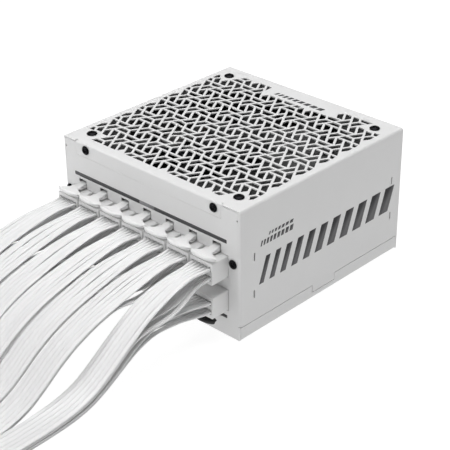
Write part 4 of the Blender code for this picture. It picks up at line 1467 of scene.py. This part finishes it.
@dataclass
class Screws:
    """Pan-head screws with a cross recess.

    Fields:
        recess_width: Half the width of a recess's arm.
        recess_reach: An arm's length from the middle.
    """

    segments: int = 40
    head_height: float = 0.0012
    recess_width: float = 0.00045
    recess_reach: float = 0.0017
    recess_depth: float = 0.0008

    def build(self) -> None:
        """Puts a head where each CAD screw is."""
        for number in range(1, 5):
            self.screw(f"fan_screw_{number}", True)
            self.screw(f"cover_screw_{number}", False)

    def screw(self, node: str, upward: bool) -> None:
        """Makes one screw.

        The head's top is a shallow dome: its height falls with the fourth power of the radius.
        The recess lowers it where the distance to either arm's middle line is small.

        Args:
            node: The CAD screw's name.
            upward: Whether its head points up, and not towards -Y.
        """
        low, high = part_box(node)
        radius = (high.x - low.x) / 2
        top, bottom = (high.z, low.z) if upward else (-low.y, -high.y)
        share = np.array([0.001, 0.08, 0.16, 0.24, 0.34, 0.44, 0.54, 0.64, 0.76, 0.88, 0.96, 1.0])
        ring = around(self.segments)
        x, y = np.moveaxis(share[:, None, None] * radius * ring, -1, 0)
        arm = np.minimum(np.abs(x), np.abs(y))
        reach = np.maximum(np.abs(x), np.abs(y))
        deep = smoothstep((self.recess_width * 1.5 - arm) / self.recess_width)
        deep = deep * smoothstep((self.recess_reach - reach) / 0.0004)
        z = top - self.head_height * 0.75 * share[:, None] ** 4 - self.recess_depth * deep
        rim = top - self.head_height
        shank = revolve([(radius, rim), (radius / 2, rim), (radius / 2, bottom)], self.segments)
        points = np.concatenate([np.stack([x, y, z], -1), shank])
        middle = (low + high) / 2
        if upward:
            points = points + np.array([middle.x, middle.y, 0])
        else:
            turned = np.stack([points[..., 0], -points[..., 2], points[..., 1]], -1)
            points = turned + np.array([middle.x, 0, middle.z])
        shell = Shell().grid(points, ring=True, caps=True)
        make_piece(f"{node}_head", shell, BLACK_OXIDE, stands_for=[node], smooth_degrees=40)


# Plugs and latches


@dataclass
class Plug:
    """A moulded plug with a cell for each wire, and the sprung latch on it.

    Fields:
        row_rise: How far a row of cells is from the plug's middle.
        web: Half the web's width, and its foot and top from the plug's face.
        web_y: The web's near end and its length, measured from the panel.
        stem: Half the stem's width.
        lip: Half the thumb lip's width.
        overhang: How far the lip goes past the CAD latch.
    """

    name: str
    plan: SocketPlan
    row_rise: float = 0.0030
    web: Triple = (0.0012, -0.001, 0.0014)
    web_y: Pair = (0.0034, 0.0020)
    latch_steps: int = 44
    section_points: int = 28
    stem: float = 0.0028
    lip: float = 0.0091
    thick: float = 0.0012
    overhang: float = 0.0009

    def build(self) -> None:
        """Makes the body, the web that the latch rocks on, and the latch."""
        low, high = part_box(f"plug_{self.name}")
        x, y, z = self.plan.centre(self.name)
        half_height = self.plan.plug_height / 2
        outline = middled(x, z, self.plan.plug_width / 2, half_height, 0.0007)
        cells = wire_cells(x, z, self.row_rise, 0.0034)
        node = f"plug_{self.name}"
        slab(
            f"plug_body_{self.name}", [outline, *cells], y, high.y - low.y, MOULDED_NYLON,
            node, 0.00035, -1,
        )
        up = 1 if self.name.startswith("upper") else -1
        half, foot, crown = self.web
        ends = sorted((z + up * (half_height + foot), z + up * (half_height + crown)))
        face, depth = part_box("base_tray")[0].y - self.web_y[0], self.web_y[1]
        outline = rounded(x - half, x + half, *ends, 0.0003)
        slab(f"latch_web_{self.name}", [outline], face, depth, MOULDED_NYLON, node)
        self.latch(up)

    def latch(self, up: int) -> None:
        """A hook, a stem and a wide thumb lip, as one rounded section carried along Y.

        The section is a superellipse. Its half width is the stem's, and opens along a smooth
        step to the lip's. The lip's far edge is bowed by the square of the way across, and its
        crest is raised as a bell of the way along. The stem has a shoulder on top and is
        thicker underneath, and ends in a hook.

        Args:
            up: 1 for a latch on top of its plug, -1 for one underneath.
        """
        low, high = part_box(f"latch_{self.name}")
        tip_y = low.y - self.overhang
        length = high.y - tip_y
        from_tip = np.linspace(0, 1, self.latch_steps + 1)[:, None] * length
        open_out = smoothstep((0.0092 - from_tip) / 0.0046)
        half = self.stem + (self.lip - self.stem) * open_out
        half = half * self.tip_round(from_tip / 0.0016, 0.9, 0.02)
        thickness = self.thick * self.tip_round(from_tip / 0.0008, 1.0, 0.05)
        c, s = around(self.section_points).T
        across = half * np.sign(c) * np.abs(c) ** 0.35
        tall = np.sign(s) * np.abs(s) ** 0.6
        edge = (across / self.lip) ** 2
        bow = 0.0019 * edge * smoothstep((0.0070 - from_tip) / 0.0070)
        crest = 0.0013 * np.exp(-(((from_tip - 0.0015) / 0.0012) ** 2))
        shoulder = 0.0010 * smoothstep((from_tip - 0.0095) / 0.0050)
        rise = (crest + shoulder) * (tall > -0.2) - 0.0007 * edge * open_out
        under = 0.0013 * smoothstep((from_tip - 0.0088) / 0.0030)
        hook = 0.0009 * smoothstep((from_tip - length + 0.0022) / 0.0004)
        rise = rise - (under + hook) * (tall < 0.1)
        inset = 0.0018 + self.thick / 2
        base_z = high.z - inset if up > 0 else low.z + inset
        x, y = (low.x + high.x) / 2 + across, tip_y + from_tip + bow
        points = np.stack([x, y, base_z + up * (thickness / 2 * tall + rise)], -1)
        # A latch under a lower plug is moulded black: painted shade for the deep shadow under that
        # plug.
        make_piece(
            f"latch_lever_{self.name}", Shell().grid(points, ring=True, caps=True),
            MOULDED_NYLON if up > 0 else MOULDED_BLACK, body=f"lever_{self.name}",
            smooth_degrees=70, stands_for=[f"latch_{self.name}"],
        )

    @staticmethod
    def tip_round(way: Array, depth: float, least: float) -> Array:
        """Rounds off an end as a quarter ellipse.

        Args:
            way: The way from the end, as a share of the rounded length.
            depth: How much of the size is taken away at the end.
            least: The smallest value under the root.

        Returns:
            The share of its full size at each place.
        """
        return np.sqrt(np.clip(1 - (1 - way).clip(0) ** 2 * depth, least, 1))


# Fan


@dataclass
class Fan:
    """The rotor: seven swept blades, whose roots reach into a hub cup."""

    blades: int = 7
    hub_radius: float = 0.021
    tip_radius: float = 0.0645
    blade_wall: float = 0.0012
    root: float = 0.0008
    grid: int = 12

    def build(self) -> None:
        """Makes the hub and the blades, and dresses the frame and motor."""
        low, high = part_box("fan_rotor")
        self.middle = (low + high) / 2
        self.hub(low.z, high.z)
        self.vanes()
        dress(MOULDED_BLACK, "fan_frame")
        dress(ENAMELLED_COPPER, "fan_motor")

    def hub(self, low: float, high: float) -> None:
        """A cup turned about the axle, with a rounded rim and a shallow ring in its face."""
        r = self.hub_radius
        profile = [
            (0.0001, high - 0.0006), (0.0110, high - 0.0006), (0.0116, high), (r - 0.0022, high),
            (r - 0.0010, high - 0.0004), (r - 0.0003, high - 0.0012), (r, high - 0.0024),
            (r, low + 0.0002), (r - 0.0018, low + 0.0002), (r - 0.0018, high - 0.0028),
            (0.0001, high - 0.0028),
        ]
        points = revolve(profile, 64) + np.array([self.middle.x, self.middle.y, 0])
        shell = Shell().grid(points, ring=True, caps=True)
        make_piece("fan_hub", shell, MOULDED_BLACK, body="fan", stands_for=["fan_rotor"])

    def vanes(self) -> None:
        """Seven blades, each a grid of the way out and the way along its chord.

        The angle about the axle is the chord's share of its span plus a sweep that grows with
        the square of the way out. The height falls along the chord, less so towards the tip,
        with a camber as one less the chord's square.
        """
        out = np.linspace(0, 1, self.grid)[:, None]
        chord = np.linspace(-0.5, 0.5, self.grid)[None, :]
        inner = self.hub_radius - self.root
        radius = inner + (self.tip_radius - inner) * out
        span = np.radians(38 - 6 * out)
        height = (0.0135 - 0.0025 * out) * chord + 0.0012 * (0.25 - chord**2)
        shell = Shell()
        for number in range(self.blades):
            start = FULL_TURN * number / self.blades
            angle = start + math.radians(12) * out**2 + span * chord
            points = np.stack([radius * np.cos(angle), radius * np.sin(angle), height], -1)
            shell.grid(points + np.array(self.middle) - np.array([0, 0, 0.0002]))
        make_piece(
            "fan_blades", shell, MOULDED_BLACK, body="fan", outward=(0, 0, 1),
            stands_for=["fan_rotor"], wall=(self.blade_wall, CENTRED),
        )


# Rear panel's inlet and switch


@dataclass
class RearFittings:
    """The mains inlet with its pins, and the rocker switch in its bezel.

    Fields:
        cavity_half: Half the inlet's cavity, across and up.
        cut_corner: How much its two upper corners are cut.
        pin_places: The pins' places from the inlet's middle.
        pin_ends: A pin's rings along Y, each with its share of the section.
        rocker_tilt: The rocker's tilt at rest, in degrees.
    """

    cavity_half: Pair = (0.0123, 0.0083)
    cut_corner: float = 0.004
    pin_half: Pair = (0.001, 0.002)
    pin_places: tuple[Pair, ...] = ((-0.007, -0.002), (0.007, -0.002), (0.0, 0.002))
    pin_ends: tuple[Pair, ...] = ((0.0590, 1.0), (0.0698, 1.0), (0.0706, 0.88), (0.0710, 0.6))
    rocker_tilt: float = 11.0
    rocker_pivot_y: float = 0.0735
    rocker_half: float = 0.0076

    def build(self) -> None:
        """Makes each fitting."""
        self.inlet()
        self.pins()
        self.bezel()
        self.rocker()

    @staticmethod
    def place(node: str) -> tuple[Vector, Vector, float, float]:
        """A node's two corners, and its middle's X and Z."""
        low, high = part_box(node)
        return low, high, (low.x + high.x) / 2, (low.z + high.z) / 2

    def inlet(self) -> None:
        """A rounded flange and a shell, with a cavity whose two upper corners are cut."""
        low, high, x, z = self.place("ac_inlet")
        (w, h), c = self.cavity_half, self.cut_corner
        corners = ((-w, -h), (w, -h), (w, h - c), (w - c, h), (c - w, h), (-w, h - c))
        cavity = [(x + a, z + b) for a, b in corners]
        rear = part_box("base_tray")[1].y
        layers = (
            ([rounded(low.x, high.x, low.z, high.z, 0.0022), cavity], rear + 0.0020, 0.0018),
            ([middled(x, z, 0.0135, 0.010, 0.0012), cavity], high.y, 0.0180),
            ([middled(x, z, 0.0133, 0.0098)], low.y + 0.003, 0.003),
        )
        for number, (loops, y, depth) in enumerate(layers):
            slab(f"inlet_layer_{number + 1}", loops, y, depth, MOULDED_BLACK, "ac_inlet", 0.0003)

    def pins(self) -> None:
        """Three flat contact blades with rounded ends: rounded rectangles carried along Y."""
        _, _, x, z = self.place("ac_inlet")
        shell = Shell()
        for dx, dz in self.pin_places:
            centre = np.array([x + dx, z + dz])
            section = np.array(middled(0, 0, *self.pin_half, 0.0003))
            rows = [carried(centre + section * share, 1, [y]) for y, share in self.pin_ends]
            shell.grid(np.concatenate(rows), ring=True, caps=True)
        make_piece("inlet_pins", shell, NICKEL_PLATE, stands_for=["ac_inlet"])

    def bezel(self) -> None:
        """The switch's frame: a rounded flange and a shell, with a window."""
        low, high, x, z = self.place("rocker_bezel")
        window = middled(x, z, 0.0085, 0.0056)
        under = high.y - 0.0010
        layers = (
            ([rounded(low.x, high.x, low.z, high.z, 0.0012), window], high.y, 0.0016),
            ([middled(x, z, 0.0095, 0.0065), window], under, under - low.y),
        )
        for number, (loops, y, depth) in enumerate(layers):
            name = f"switch_frame_{number + 1}"
            slab(name, loops, y, depth, MOULDED_BLACK, "rocker_bezel", 0.00025)

    def rocker(self) -> None:
        """The rocker, a dished section in XY carried along Z and tipped about its pivot."""
        low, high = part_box("rocker")
        x = self.place("rocker_bezel")[2]
        across = np.linspace(-self.rocker_half, self.rocker_half, 17)
        face = 0.0012 + 0.0014 * (across / self.rocker_half) ** 2
        back = [(0.0062, -0.0030), (0.0020, -0.0050), (-0.0020, -0.0050), (-0.0062, -0.0030)]
        outline = np.vstack([np.stack([across, face], 1), back])
        c, s = math.cos(math.radians(self.rocker_tilt)), math.sin(math.radians(self.rocker_tilt))
        section = outline @ np.array([[c, s], [-s, c]]) + np.array([x, self.rocker_pivot_y])
        levels = [low.z, low.z + 0.0004, high.z - 0.0004, high.z]
        shell = Shell().grid(carried(section, 2, levels), ring=True, caps=True)
        make_piece(
            "rocker_key", shell, MOULDED_BLACK, body="power_switch", stands_for=["rocker"],
            edge=(0.00025, 2),
        )


def dress_inside() -> None:
    """Dresses what shows through the vents: boards, heatsinks and the larger components."""
    dress(MOULDED_NYLON, "upper_sockets", "lower_sockets")
    dress(SOLDER_MASK, "main_board", "socket_board")
    dress(POLYESTER_FILM, "insulation_sheet")
    dress(EXTRUDED_ALUMINIUM, "primary_heatsink", "secondary_heatsink")
    dress(SINTERED_FERRITE, "transformer")
    dress(SHRINK_SLEEVE, "bulk_capacitor")
    dress(ENAMELLED_COPPER, "filter_choke")


def main() -> None:
    """Builds the camera and cables first, then the rest of the unit."""
    logging.basicConfig(level=logging.INFO, format="%(message)s")
    plan = SocketPlan()
    Studio().build()
    Cables(plan).build()
    Housing(plan).build()
    Screws().build()
    for name in plan.names():
        Plug(name, plan).build()
    Fan().build()
    RearFittings().build()
    dress_inside()


if __name__ == "__main__":
    main()
